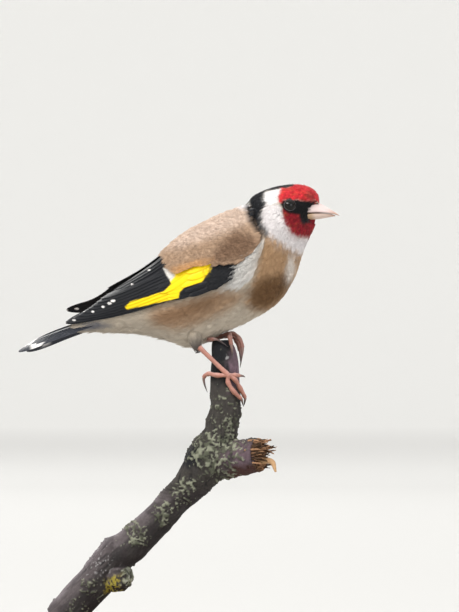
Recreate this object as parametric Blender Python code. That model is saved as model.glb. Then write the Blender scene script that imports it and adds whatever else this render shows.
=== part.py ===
"""A life-size European goldfinch perched on a broken, lichened branch, on a display stand.

The bird faces +X with its sagittal plane at Y = 0, and +Z is up. The origin is the centre of
the base's underside. Sizes below are in millimetres, and MM turns them into Blender's metres.
"""

import math

import bmesh
import bpy
import numpy as np

MM = 0.001
GAP = 0.3
MERGE_DISTANCES = (2e-6, 5e-7, 1e-6, 4e-6, 1.5e-7)  # metres
SLACK = 0.06  # facets of two lofts never match exactly, so cutters grow by this much more

# Colours as linear RGB, with roughness and metallic value.
FINISHES = {
    "mantle_brown": ((0.32, 0.20, 0.12), 0.85, 0.0),
    "collar_white": ((0.78, 0.75, 0.70), 0.85, 0.0),
    "face_red": ((0.55, 0.02, 0.02), 0.80, 0.0),
    "wing_black": ((0.012, 0.013, 0.017), 0.55, 0.0),
    "tail_black": ((0.015, 0.016, 0.022), 0.55, 0.0),
    "thigh_grey": ((0.20, 0.17, 0.13), 0.90, 0.0),
    "bill_ivory": ((0.75, 0.60, 0.52), 0.40, 0.0),
    "eye_dark": ((0.008, 0.006, 0.005), 0.05, 0.0),
    "leg_pink": ((0.55, 0.22, 0.15), 0.50, 0.0),
    "claw_horn": ((0.10, 0.06, 0.05), 0.40, 0.0),
    "bark": ((0.09, 0.08, 0.07), 0.90, 0.0),
    "stand_walnut": ((0.10, 0.045, 0.02), 0.35, 0.0),
    "stand_steel": ((0.55, 0.55, 0.56), 0.30, 1.0),
}

# The body is one loft of upright ribs from the tail coverts to the bill. Each rib has its top
# point (x, z), its bottom point (x, z), and its half width a quarter, a half and three quarters
# of the way down.
BODY_RIBS = (
    (-35.4, 122.1, -32.5, 117.3, 4.4, 4.6, 4.0),  # end of the tail coverts
    (-27.4, 126.4, -23.8, 117.2, 5.8, 6.4, 5.8),
    (-18.0, 131.4, -13.7, 116.6, 8.2, 9.2, 8.8),
    (-10.1, 137.2, -3.6, 114.4, 10.0, 11.4, 11.2),  # rump and vent
    (-0.7, 146.0, 5.2, 112.1, 11.4, 13.0, 12.8),
    (7.9, 153.2, 15.9, 117.0, 12.0, 13.6, 13.2),  # belly over the perch
    (16.6, 158.2, 26.3, 121.6, 11.8, 13.6, 13.2),
    (22.4, 160.9, 35.9, 127.7, 10.8, 13.0, 12.6),  # breast
    (25.3, 162.9, 42.0, 136.5, 9.5, 12.0, 11.0),
    (26.0, 163.9, 44.6, 144.2, 8.4, 10.7, 9.8),
    (26.7, 164.8, 46.3, 148.7, 7.8, 9.5, 9.0),  # neck
    (28.9, 166.2, 47.7, 151.6, 7.6, 8.9, 8.2),
    (33.2, 167.9, 48.4, 153.0, 7.6, 8.3, 6.9),  # through the eye
    (38.2, 169.0, 49.2, 154.8, 6.9, 6.8, 5.2),
    (43.4, 169.2, 50.0, 156.4, 5.7, 4.9, 4.0),  # forehead to chin
    (47.5, 168.1, 50.5, 157.7, 4.3, 3.7, 3.2),
    (50.0, 166.2, 51.0, 158.9, 2.7, 2.5, 2.2),
)
BODY_STEPS_PER_RIB = 2
BODY_SIDES = 28
NECK_RIB, HEAD_RIB = 8.0, 11.0  # the head is turned over the ribs between these two
HEAD_TURN_DEG = -6.0
HEAD_PIVOT_X = 33.0
# Cuts that part the shapes. Each holds a point and the direction across it.
CUT_NECK = ((36.0, 0.0, 150.5), (0.80, 0.0, 0.60))
CUT_MIDDLE = ((0.0, 0.0, 140.0), (0.0, 1.0, 0.0))  # keeps the folded wings apart
CUT_HEAD = ((38.5, 0.0, 156.5), (0.66, 0.0, 0.75))

EYE_RIB, EYE_DOWN = 12.42, 0.448  # place of the eyes: rib, share of the way down
EYE_RADIUS = 2.35
EYE_DEPTH = 1.45  # how far the eyeball's centre lies under the feathers
EYE_FACETS = (16, 10)
LID_RADIUS, LID_TUBE = 2.12, 0.42
LID_STEPS, LID_SIDES = 16, 5

# The bill is two mandibles. Each row is x, top z, bottom z, half width.
UPPER_MANDIBLE = (
    (43.6, 164.6, 159.3, 3.7),
    (46.8, 164.2, 159.1, 3.4),
    (49.4, 163.2, 159.2, 2.8),
    (52.0, 161.9, 159.15, 2.0),
    (54.6, 160.4, 158.9, 1.2),
    (56.6, 159.2, 158.5, 0.5),
)
LOWER_MANDIBLE = (
    (43.6, 158.95, 156.2, 3.6),
    (46.8, 158.75, 156.5, 3.2),
    (49.4, 158.85, 156.8, 2.5),
    (52.0, 158.8, 157.3, 1.7),
    (54.6, 158.55, 157.75, 0.9),
)
UPPER_TIP = (57.6, 158.3)
LOWER_TIP = (56.2, 158.05)
BILL_SIDES = 14
NOSTRIL = (46.6, 2.75, 162.3)
NOSTRIL_SIZE = (1.3, 0.8, 0.6)
NOSTRIL_FACETS = (10, 6)

# The folded wings form a roof over the back. Each row is one rafter: its lower edge (x, z), the
# ridge above the back (x, z), and the half width at the lower edge.
WING_RAFTERS = (
    (27.8, 142.1, 24.5, 160.4, 12.4),
    (19.7, 134.4, 13.0, 156.0, 14.2),
    (10.1, 130.3, 1.4, 149.4, 14.5),
    (0.1, 128.0, -7.2, 141.4, 13.4),
    (-10.7, 125.9, -17.3, 134.2, 10.8),
    (-20.6, 124.0, -25.3, 129.6, 8.0),
    (-29.7, 122.8, -32.5, 125.6, 5.6),
    (-39.3, 120.4, -39.7, 121.8, 3.2),
)
# How far the wing is lifted at its tip, and how much longer it reaches back. The lift and the
# reach grow from nothing at the shoulder.
WING_LIFT = {"right": 0.0, "left": 4.4}
WING_REACH = {"right": 0.4, "left": 2.0}
VANE_THICK = 0.55
VANE_STEPS = 4
TIER_RISE = 0.12  # neighbours in a tier lie this far over one another, so none share a plane
RIDGE_GAP = 0.35  # the wings stay this far from the bird's middle plane
# Feather tiers: count, then the first and last feather's root and tip (rafter, share of the way
# up the roof), half width, height over the roof at root and tip, and how far the vane tilts.
WING_TIERS = {
    "primaries": (9, (2.0, 0.08), (2.6, 0.42), (7.0, 0.12), (4.9, 0.70), 2.3, 0.2, 0.5, 0.30),
    "secondaries": (6, (2.2, 0.40), (2.0, 0.68), (4.75, 0.54), (4.45, 0.93), 2.9, 0.7, 0.9, 0.30),
    "tertials": (3, (1.9, 0.70), (1.6, 0.88), (4.9, 0.90), (3.35, 0.98), 3.8, 1.0, 1.1, 0.30),
    "primary_coverts": (4, (1.1, 0.06), (1.2, 0.28), (2.9, 0.06), (2.75, 0.26), 1.9, 0.9, 1.0, 0.30),
    "greater_coverts": (6, (1.2, 0.30), (1.4, 0.72), (3.0, 0.20), (2.95, 0.74), 2.6, 1.3, 1.4, 0.35),
    "median_coverts": (4, (0.9, 0.20), (1.0, 0.60), (1.9, 0.22), (1.9, 0.58), 2.9, 1.7, 1.8, 0.35),
    "alula": (2, (0.8, 0.03), (0.9, 0.12), (2.1, 0.03), (1.9, 0.14), 1.7, 1.3, 1.4, 0.30),
}
# The wing's arm lies under its coverts: rafter, low and high share of the roof, thickness.
WING_ARM = (
    (0.25, 0.20, 0.56, 1.2),
    (0.7, 0.06, 0.72, 2.0),
    (1.3, 0.03, 0.80, 2.2),
    (2.1, 0.05, 0.86, 1.9),
    (3.0, 0.12, 0.86, 1.2),
)
WING_ARM_SIDES = 12

TAIL_PAIRS = 6
TAIL_ROOT = (-31.5, 121.9)
TAIL_SLOPE_DEG = 19.5
TAIL_CENTRE_LENGTH, TAIL_OUTER_LENGTH = 22.0, 27.3
TAIL_VANE_HALF_WIDTH = 2.9
TAIL_SPREAD, TAIL_DROP = 0.62, 0.42  # each pair lies this far out and down from the one above
TAIL_VANE_THICK = 0.6
TAIL_BLOCK = (5.0, 8.6, 3.6)  # the quills' shared root: length, width, height
TAIL_BLOCK_DROP = 0.9
TAIL_BLOCK_ROWS = ((-0.2, 1.0), (0.6, 1.0), (1.3, 0.7))  # share of the length, size
TAIL_BLOCK_SIDES = 12

BRANCH = (  # x, z, radius down the middle line of the perch
    (15.9, 114.6, 3.5),
    (16.0, 112.9, 4.0),
    (16.8, 107.8, 4.9),
    (16.9, 101.5, 5.3),
    (17.0, 95.2, 5.6),
    (17.1, 90.5, 5.7),
    (16.2, 86.6, 5.8),
    (15.3, 82.6, 5.9),
    (14.1, 79.1, 6.8),
    (12.3, 75.6, 7.9),
    (10.1, 71.8, 8.0),
    (7.6, 67.9, 7.2),
    (4.0, 63.7, 6.2),
    (-0.6, 59.3, 5.8),
    (-8.5, 50.9, 5.8),
    (-17.6, 42.5, 6.4),
    (-23.2, 38.3, 6.9),
    (-30.0, 29.9, 6.9),
    (-37.8, 21.6, 6.6),
    (-47.0, 11.5, 6.5),
)
BRANCH_SIDES = 16
BRANCH_STEPS = 2
BRANCH_CUT_Z = 17.5
BUMP = 0.28  # height of the bark's lumps, none of them under the feet
BUMP_FREE_Z = 96.0
KNOTS = (  # x, y, z, radius of the swellings of the bark
    (5.8, -1.5, 73.2, 3.2),
    (-21.5, -1.5, 31.6, 5.6),
    (-25.0, 2.5, 41.0, 4.6),
)
KNOT_FACETS = (12, 8)
STUB = (
    (10.0, 1.0, 71.8, 6.9),
    (18.0, -1.0, 73.0, 6.6),
    (24.9, -3.0, 73.9, 6.2),
    (30.2, -4.8, 74.6, 5.9),
)
SPLINTERS = 9
SPLINTER_SEED = 5
SPLIT_STRIP = ((31.0, -5.2, 72.6), (35.4, -6.8, 72.4), (37.0, -7.2, 68.9))
SPLIT_STRIP_RADII = (1.3, 1.0, 0.5)
# Rings of torn wood from the bark inwards: share of the radius, reach of the notches and the tips.
SPLINTER_RINGS = (
    (0.88, (-0.6, 0.6), (1.2, 3.6)),
    (0.55, (0.4, 1.2), (2.5, 6.6)),
    (0.22, (-0.5, 0.5), (2.0, 4.0)),
)

ANKLE = {"right": (10.3, -7.5, 111.6), "left": (1.8, 7.6, 113.2)}
THIGH_TOP = {"right": (6.6, -6.0, 119.8), "left": (-1.0, 6.6, 120.6)}
THIGH_END = {"right": (9.0, -7.4, 110.7), "left": (1.6, 7.6, 112.6)}
THIGH_RADII = {"right": (2.8, 3.3, 3.0, 2.2), "left": (2.4, 2.8, 2.4, 1.8)}
THIGH_SIDES = 14
TARSUS_RADII = (1.10, 0.95, 0.86, 0.90, 1.05)
TARSUS_SIDES = 10
TOE_RADIUS = 0.80
TOE_PADS = 0.13  # how much thicker a toe is at its pads, as a share
TOE_SIDES = 8
TOE_STEPS = 10
CLAW_RADIUS = 0.52
CLAW_SIDES = 7
CLAW_STEPS = 5
# Each foot starts at its joint, and its toes hug the perch. A place is the angle round the perch
# (0 is +X and 90 is the camera's side), the height z, and the distance off the bark. The last two
# places of a toe are its claw.
FOOT = {"right": (66, 102.5, 1.5), "left": (221, 115.2, 1.8)}
TOES = {
    "right": {
        "hind": ((100, 102.5, 1.2), (137, 103.0, 1.2), (157, 101.8, 2.1), (160, 99.4, 1.8), (153, 96.4, 0.8)),
        "inner": ((42, 102.5, 1.2), (26, 102.4, 1.3), (10, 102.2, 1.7), (0, 101.8, 2.1)),
        "middle": ((66, 99.9, 1.3), (50, 96.9, 1.25), (26, 94.5, 1.35), (12, 93.2, 1.0), (-2, 91.8, 0.7)),
        "outer": ((44, 100.9, 1.4), (24, 97.8, 1.3), (4, 94.8, 1.6), (-6, 93.4, 1.3), (-22, 91.4, 0.7)),
    },
    "left": {
        "hind": ((183, 114.9, 1.7), (136, 115.0, 1.5), (112, 115.1, 1.4), (88, 114.6, 1.2), (53, 112.4, 1.0)),
        "inner": ((-20, 116.9, -1.2), (37, 115.7, 0.9), (40, 113.2, 1.4), (41, 110.6, 1.1), (48, 108.2, 0.8)),
        "middle": ((-38, 117.0, 0.0), (-8, 115.4, 2.4), (0, 112.2, 3.0), (4, 108.6, 1.6), (8, 105.0, 0.7)),
        "outer": (
            (-68, 116.2, 1.3), (-42, 114.4, 2.2), (-30, 111.2, 1.8), (-26, 109.2, 1.2), (-22, 106.4, 0.7),
        ),
    },
}

BASE_RADIUS, BASE_HEIGHT, BASE_BEVEL = 52.0, 8.0, 1.2
ROD_RADIUS = 2.5
ROD_X = -41.8
ROUND_SIDES = 48


def clear_scene():
    for obj in list(bpy.data.objects):
        bpy.data.objects.remove(obj, do_unlink=True)


def finish(name):
    """The material of that name, made on first use."""
    if name in bpy.data.materials:
        return bpy.data.materials[name]
    colour, roughness, metallic = FINISHES[name]
    material = bpy.data.materials.new(name)
    material.use_nodes = True
    shader = material.node_tree.nodes["Principled BSDF"]
    shader.inputs["Base Color"].default_value = (*colour, 1.0)
    shader.inputs["Roughness"].default_value = roughness
    shader.inputs["Metallic"].default_value = metallic
    return material


def add_mesh(name, points, faces, material, helper=False):
    """A new object from points in millimetres. A helper is a cutter or a piece that gets joined."""
    mesh = bpy.data.meshes.new(name)
    mesh.from_pydata([tuple(float(v) * MM for v in p) for p in points], [], faces)
    shape = bmesh.new()
    shape.from_mesh(mesh)
    bmesh.ops.recalc_face_normals(shape, faces=shape.faces)
    bmesh.ops.triangulate(shape, faces=[f for f in shape.faces if len(f.verts) > 4])
    shape.to_mesh(mesh)
    shape.free()
    mesh.materials.append(finish(material))
    mesh.shade_smooth()
    obj = bpy.data.objects.new(name, mesh)
    bpy.context.scene.collection.objects.link(obj)
    if helper:
        obj.hide_render = True
        obj.display_type = "WIRE"
    return obj


def smooth_row(rows, u):
    """The table's row at the fractional index u, on a Catmull-Rom curve through the rows."""
    table = np.asarray(rows, float)
    last = len(table) - 1
    i = int(min(max(math.floor(u), 0), last - 1))
    t = u - i
    before = table[i - 1] if i > 0 else 2 * table[0] - table[1]
    after = table[i + 2] if i + 2 <= last else 2 * table[last] - table[last - 1]
    a, b = table[i], table[i + 1]
    return 0.5 * (
        2 * a + (b - before) * t + (2 * before - 5 * a + 4 * b - after) * t**2
        + (3 * a - before - 3 * b + after) * t**3
    )


def unit(v):
    v = np.asarray(v, float)
    return v / np.linalg.norm(v)


def skin(rings, start=None, end=None):
    """Points and faces of a closed loft. Each end is a point, or a flat fan if none is given."""
    count = len(rings[0])
    points = [p for ring in rings for p in ring]
    faces = []
    for r in range(len(rings) - 1):
        for k in range(count):
            a, b = r * count + k, r * count + (k + 1) % count
            faces.append((a, b, b + count, a + count))
    for ring, first, tip in ((rings[0], 0, start), (rings[-1], (len(rings) - 1) * count, end)):
        centre = len(points)
        points.append(np.mean(ring, axis=0) if tip is None else tip)
        faces += [(centre, first + k, first + (k + 1) % count) for k in range(count)]
    return points, faces


def tube(line, radii, sides, start=None, end=None):
    """A closed tube along a line of points."""
    line = [np.asarray(p, float) for p in line]
    rings = []
    side = None
    for i, centre in enumerate(line):
        along = unit(line[min(i + 1, len(line) - 1)] - line[max(i - 1, 0)])
        if side is None:
            side = np.cross(along, (0.0, 0.0, 1.0) if abs(along[2]) < 0.9 else (0.0, 1.0, 0.0))
        side = unit(side - along * np.dot(side, along))
        up = np.cross(along, side)
        angles = [2 * math.pi * k / sides for k in range(sides)]
        rings.append([centre + radii[i] * (math.cos(a) * side + math.sin(a) * up) for a in angles])
    return skin(rings, start, end)


def apply_boolean(obj, operation, other=None, pieces=None, solver="EXACT"):
    """Applies one Boolean to obj and removes the objects that it used."""
    modifier = obj.modifiers.new("join", "BOOLEAN")
    modifier.operation = operation
    modifier.solver = solver
    used = [other] if other else pieces
    collection = None
    if pieces:
        collection = bpy.data.collections.new("pieces")
        for piece in pieces:
            collection.objects.link(piece)
        modifier.operand_type = "COLLECTION"
        modifier.collection = collection
    else:
        modifier.object = other
    graph = bpy.context.evaluated_depsgraph_get()
    mesh = bpy.data.meshes.new_from_object(obj.evaluated_get(graph))
    obj.modifiers.clear()
    obj.data = mesh
    for piece in used:
        bpy.data.objects.remove(piece, do_unlink=True)
    if collection:
        bpy.data.collections.remove(collection)
    keep_largest(obj)
    return obj


def keep_largest(obj):
    """Drops every closed surface but the largest. Near points are merged by the first of the
    distances that leaves each edge between just two faces."""
    for distance in MERGE_DISTANCES:
        shape = bmesh.new()
        shape.from_mesh(obj.data)
        bmesh.ops.remove_doubles(shape, verts=shape.verts, dist=distance)
        bmesh.ops.dissolve_degenerate(shape, edges=shape.edges, dist=distance)
        bmesh.ops.triangulate(shape, faces=shape.faces[:])
        for island in closed_surfaces(shape)[1:]:
            bmesh.ops.delete(shape, geom=list(island), context="VERTS")
        sound = all(edge.is_manifold for edge in shape.edges)
        if sound or distance == MERGE_DISTANCES[-1]:
            shape.to_mesh(obj.data)
        shape.free()
        if sound:
            break
    obj.data.shade_smooth()


def closed_surfaces(shape):
    """The shape's connected sets of points, the largest first."""
    unseen = set(shape.verts)
    islands = []
    while unseen:
        stack = [unseen.pop()]
        island = set(stack)
        while stack:
            for edge in stack.pop().link_edges:
                for vert in edge.verts:
                    if vert in unseen:
                        unseen.discard(vert)
                        island.add(vert)
                        stack.append(vert)
        islands.append(island)
    return sorted(islands, key=len, reverse=True)


def body_point(u, down, side, grow=0.0):
    """A point of the body's surface: rib u, share of the way down it, and which side (-1 to 1)."""
    top_x, top_z, low_x, low_z, upper, middle, lower = smooth_row(BODY_RIBS, u)
    top, low = np.array((top_x, 0.0, top_z)), np.array((low_x, 0.0, low_z))
    rib = unit(low - top)
    top, low = top - grow * rib, low + grow * rib
    step = (down - 0.5) * 4
    width = middle + (lower - upper) / 2 * step + ((lower + upper) / 2 - middle) * step**2
    round_share = 2 * math.sqrt(max(down * (1 - down), 0.0))
    point = top + (low - top) * down
    point[1] = side * (width + grow) * round_share
    return turn_head(point, u)


def turn_head(point, u):
    """Swings the ribs of the neck and head about an upright axis."""
    share = min(max((u - NECK_RIB) / (HEAD_RIB - NECK_RIB), 0.0), 1.0)
    angle = math.radians(HEAD_TURN_DEG) * share * share * (3 - 2 * share)
    dx = point[0] - HEAD_PIVOT_X
    return np.array((
        HEAD_PIVOT_X + dx * math.cos(angle) + point[1] * math.sin(angle),
        -dx * math.sin(angle) + point[1] * math.cos(angle),
        point[2],
    ))


def body_loft(name, material, grow=0.0, helper=True):
    rings = []
    last = len(BODY_RIBS) - 1
    for r in range(last * BODY_STEPS_PER_RIB + 1):
        u = r / BODY_STEPS_PER_RIB
        ring = []
        for k in range(BODY_SIDES):
            angle = 2 * math.pi * k / BODY_SIDES
            down = (1 - math.cos(angle)) / 2
            ring.append(body_point(u, down, 1 if math.sin(angle) >= 0 else -1, grow))
        rings.append(ring)
    nose = np.mean(rings[-1], axis=0) + unit((1.0, 0.1, -0.2)) * (0.8 + grow)
    tail = None if not grow else np.mean(rings[0], axis=0) - unit((0.94, 0.0, 0.33)) * grow
    points, faces = skin(rings, start=tail, end=nose)
    return add_mesh(name, points, faces, material, helper)


def body_room():
    """A cutter that holds the body and the gap round it."""
    return body_loft("room", "mantle_brown", GAP + SLACK)


def keep_side(obj, cut, sign):
    """Keeps the part of obj on one side of a cut, half a gap away from it, and closes it."""
    centre, normal = np.asarray(cut[0], float), unit(cut[1])
    at = (centre + normal * sign * GAP / 2) * MM
    shape = bmesh.new()
    shape.from_mesh(obj.data)
    bmesh.ops.bisect_plane(
        shape, geom=shape.verts[:] + shape.edges[:] + shape.faces[:], dist=1e-7,
        plane_co=at, plane_no=normal, clear_inner=sign > 0, clear_outer=sign < 0,
    )
    rim = [e for e in shape.edges if e.is_boundary]
    bmesh.ops.triangle_fill(shape, edges=rim, use_beauty=True, use_dissolve=False)
    bmesh.ops.recalc_face_normals(shape, faces=shape.faces)
    shape.to_mesh(obj.data)
    shape.free()


def ellipsoid(name, centre, size, material, toward, facets):
    """A helper ellipsoid, its poles along the direction given."""
    shape = bmesh.new()
    bmesh.ops.create_uvsphere(shape, u_segments=facets[0], v_segments=facets[1], radius=1.0)
    axis = unit(toward)
    side = unit(np.cross(axis, (0.3, 0.2, 0.9)))
    frame = np.stack((side, np.cross(axis, side), axis))
    points = [np.asarray(centre) + (np.array(v.co) * size) @ frame for v in shape.verts]
    faces = [tuple(v.index for v in f.verts) for f in shape.faces]
    shape.free()
    return add_mesh(name, points, faces, material, helper=True)


def eye_place(side):
    """The middle of an eyeball and the direction in which it looks."""
    here = body_point(EYE_RIB, EYE_DOWN, side)
    ahead = body_point(EYE_RIB + 0.2, EYE_DOWN, side)
    below = body_point(EYE_RIB, EYE_DOWN + 0.06, side)
    out = unit(np.cross(ahead - here, below - here))
    if out[1] * side < 0:
        out = -out
    return here - out * EYE_DEPTH, out


def lid_ring(name, centre, out):
    """The bare rim of skin round an eye."""
    side = unit(np.cross(out, (0.0, 0.0, 1.0)))
    up = np.cross(side, out)
    middle = np.asarray(centre) + out * (EYE_DEPTH + 0.05)
    rings = []
    for r in range(LID_STEPS):
        a = 2 * math.pi * r / LID_STEPS
        ray = math.cos(a) * side + math.sin(a) * up
        angles = [2 * math.pi * k / LID_SIDES for k in range(LID_SIDES)]
        rings.append([
            middle + ray * (LID_RADIUS + LID_TUBE * math.cos(b)) + out * LID_TUBE * math.sin(b)
            for b in angles
        ])
    points = [p for ring in rings for p in ring]
    faces = []
    for r in range(LID_STEPS):
        here, ahead = r * LID_SIDES, (r + 1) % LID_STEPS * LID_SIDES
        for k in range(LID_SIDES):
            after = (k + 1) % LID_SIDES
            faces.append((here + k, here + after, ahead + after, ahead + k))
    return add_mesh(name, points, faces, "face_red", helper=True)


def mandible(name, rows, tip, grow=0.0, helper=False):
    """Half of the bill, a loft with flat inner sides and a rounded back."""
    upper = rows[0][1] > 160
    rings = []
    for x, top, low, half in rows:
        ring = []
        for k in range(BILL_SIDES):
            angle = 2 * math.pi * k / BILL_SIDES
            across, height = math.cos(angle), math.sin(angle)
            outer = height > 0 if upper else height < 0
            flat = abs(height) ** (1.0 if outer else 0.35) * math.copysign(1, height)
            mid = low + 0.25 * (top - low) if upper else top - 0.25 * (top - low)
            reach = (top - mid if height > 0 else mid - low) + grow
            point = np.array((x, across * (half + grow), mid + flat * reach))
            ring.append(turn_head(point, HEAD_RIB))
        rings.append(ring)
    end = turn_head(np.array((tip[0] + grow, 0.0, tip[1])), HEAD_RIB)
    points, faces = skin(rings, end=end)
    return add_mesh(name, points, faces, "bill_ivory", helper)


def build_body():
    """Torso, neck and head from one loft, with the sockets, lids and bill let into the head."""
    torso = body_loft("torso", "mantle_brown", helper=False)
    neck = body_loft("neck", "collar_white", helper=False)
    head = body_loft("head", "face_red", helper=False)
    keep_side(torso, CUT_NECK, -1)
    keep_side(neck, CUT_NECK, 1)
    keep_side(neck, CUT_HEAD, -1)
    keep_side(head, CUT_HEAD, 1)
    lids = []
    for side, word in ((-1, "right"), (1, "left")):
        centre, out = eye_place(side)
        lids.append(lid_ring("lid_" + word, centre, out))
        eye = ellipsoid("eye_" + word, centre, (EYE_RADIUS,) * 3, "eye_dark", out, EYE_FACETS)
        eye.hide_render = False
        eye.display_type = "TEXTURED"
    apply_boolean(head, "UNION", pieces=lids)
    for side in (-1, 1):
        centre, out = eye_place(side)
        socket = ellipsoid("socket", centre, (EYE_RADIUS + GAP,) * 3, "eye_dark", out, EYE_FACETS)
        apply_boolean(head, "DIFFERENCE", socket)
    build_bill(head)


def build_bill(head):
    upper = mandible("bill_upper", UPPER_MANDIBLE, UPPER_TIP)
    mandible("bill_lower", LOWER_MANDIBLE, LOWER_TIP)
    room = GAP + SLACK
    space = []
    for rows, tip in ((UPPER_MANDIBLE, UPPER_TIP), (LOWER_MANDIBLE, LOWER_TIP)):
        longer = ((rows[0][0] - room, *rows[0][1:]), *rows)
        space.append(mandible("bill_room", longer, tip, room, helper=True))
    apply_boolean(space[0], "UNION", pieces=space[1:])
    apply_boolean(head, "DIFFERENCE", space[0])
    x, y, z = NOSTRIL
    for side in (-1, 1):
        centre = turn_head(np.array((x, side * y, z)), HEAD_RIB)
        pit = ellipsoid("nostril", centre, NOSTRIL_SIZE[::-1], "bill_ivory", (1.0, 0.0, -0.4), NOSTRIL_FACETS)
        apply_boolean(upper, "DIFFERENCE", pit)


def wing_point(u, up, out, word):
    """A point of the folded wing's roof: rafter u, share of the way up, height over the roof."""
    low_x, low_z, ridge_x, ridge_z, half = smooth_row(WING_RAFTERS, u)
    angle = up * math.pi / 2
    rise = np.array((ridge_x - low_x, ridge_z - low_z))
    height = np.linalg.norm(rise)
    sag = np.array((low_x, low_z)) + rise * math.sin(angle)
    y = half * math.cos(angle)
    normal = unit((math.sin(angle) * half * rise[0] / height,
                   math.cos(angle) * height,
                   math.sin(angle) * half * rise[1] / height))
    point = np.array((sag[0], y, sag[1])) + normal * out
    last = len(WING_RAFTERS) - 1
    share = (max(u, 0.0) / last) ** 2
    side = -1 if word == "right" else 1
    return np.array((
        point[0] - WING_REACH[word] * share,
        side * max(point[1], RIDGE_GAP),
        point[2] + WING_LIFT[word] * share,
    ))


def vane_width(q):
    """Half width along a feather as a share of its widest, from root to rounded tip."""
    return (0.55 + 0.45 * min(q / 0.4, 1.0)) * math.sqrt(max(1 - max((q - 0.62) / 0.40, 0.0) ** 2, 0.0))


def roof_vane(name, root, tip, half, out_root, out_tip, tilt, word):
    """One feather of the wing as a thin plate that follows the roof, its lower edge outermost."""
    rings = []
    for k in range(VANE_STEPS + 1):
        q = k / VANE_STEPS
        u, up = root[0] + (tip[0] - root[0]) * q, root[1] + (tip[1] - root[1]) * q
        out = out_root + (out_tip - out_root) * q
        centre = wing_point(u, up, out, word)
        along = unit(wing_point(u + 0.05, up + (tip[1] - root[1]) * 0.01, out, word) - centre)
        normal = unit(wing_point(u, up, out + 1.0, word) - centre)
        across = unit(np.cross(along, normal))
        if across[2] < 0:
            across = -across
        width = half * vane_width(q)
        low = centre - across * width + normal * tilt
        high = centre + across * width - normal * tilt
        thick = normal * VANE_THICK / 2
        rings.append((low - thick, high - thick, high + thick, low + thick))
    return plate(name, rings, "wing_black")


def plate(name, rings, material):
    """A thin closed plate from rings of four corners, split into triangles alike on both faces."""
    points = [p for ring in rings for p in ring]
    faces = []
    for r in range(len(rings) - 1):
        a, b, c, d = (r * 4 + k for k in range(4))
        a2, b2, c2, d2 = (a + 4, b + 4, c + 4, d + 4)
        faces += [(a, b, b2), (a, b2, a2), (d, c2, c), (d, d2, c2)]
        faces += [(b, c, c2), (b, c2, b2), (d, a, a2), (d, a2, d2)]
    last = (len(rings) - 1) * 4
    faces += [(0, 2, 1), (0, 3, 2), (last, last + 1, last + 2), (last, last + 2, last + 3)]
    return add_mesh(name, points, faces, material, helper=True)


def mix(a, b, share):
    return tuple(p + (q - p) * share for p, q in zip(a, b))


def wing_vanes(word):
    """Every tier of the wing's feathers, as loose plates."""
    plates = []
    for tier, values in WING_TIERS.items():
        count, root_a, root_b, tip_a, tip_b, half, out_root, out_tip, tilt = values
        for i in range(count):
            share = i / (count - 1)
            root, tip = mix(root_a, root_b, share), mix(tip_a, tip_b, share)
            if tier == "primaries":
                # The outer three are nearly as long as each other, the inner ones step back.
                tip = (tip_a[0] - (tip_a[0] - tip_b[0]) * max(share - 0.12, 0.0) ** 0.85, tip[1])
            rise = TIER_RISE * i
            plates.append(roof_vane(tier, root, tip, half, out_root + rise, out_tip + rise, tilt, word))
    return plates


def wing_arm(word):
    """The arm and shoulder pad under the coverts, a flat closed loft on the roof."""
    rings = []
    for u, low, high, thick in WING_ARM:
        ring = []
        for k in range(WING_ARM_SIDES):
            angle = 2 * math.pi * k / WING_ARM_SIDES
            up = (low + high) / 2 + (high - low) / 2 * math.cos(angle)
            out = thick / 2 + (thick / 2 + 0.4) * math.sin(angle)
            ring.append(wing_point(u, up, out, word))
        rings.append(ring)
    front = wing_point(0.0, 0.40, 0.2, word)
    back = wing_point(3.4, 0.5, 0.6, word)
    points, faces = skin(rings, start=front, end=back)
    return add_mesh("wing_" + word, points, faces, "wing_black")


def build_wing(word, room):
    wing = wing_arm(word)
    apply_boolean(wing, "UNION", pieces=wing_vanes(word))
    apply_boolean(wing, "DIFFERENCE", room)
    keep_side(wing, CUT_MIDDLE, -1 if word == "right" else 1)
    keep_largest(wing)


def tail_vane(index, side):
    """A tail feather: pair 0 is the middle pair, on top."""
    slope = math.radians(TAIL_SLOPE_DEG)
    along = np.array((-math.cos(slope), 0.0, -math.sin(slope)))
    up = np.array((-math.sin(slope), 0.0, math.cos(slope)))
    share = index / (TAIL_PAIRS - 1)
    length = TAIL_CENTRE_LENGTH + (TAIL_OUTER_LENGTH - TAIL_CENTRE_LENGTH) * share
    root = np.array((TAIL_ROOT[0], 0.0, TAIL_ROOT[1]))
    rings = []
    for k in range(VANE_STEPS + 1):
        q = k / VANE_STEPS
        spread = side * (0.9 + TAIL_SPREAD * index) * (0.8 + 0.5 * q)
        sag = -TAIL_DROP * index * (0.7 + 0.3 * q) + 0.5 * math.sin(math.pi * q)
        centre = root + along * length * q + np.array((0.0, spread, 0.0)) + up * sag
        width = TAIL_VANE_HALF_WIDTH * vane_width(q)
        roll = math.radians(10 + 4 * index)  # outer webs hang lower, as on a gabled roof
        across = np.array((0.0, side * math.cos(roll), 0.0)) - up * math.sin(roll)
        normal = np.cross(along, across)
        thick = unit(normal) * TAIL_VANE_THICK / 2
        low, high = centre - across * width, centre + across * width
        rings.append((low - thick, high - thick, high + thick, low + thick))
    return plate("rectrix", rings, "tail_black")


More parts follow.
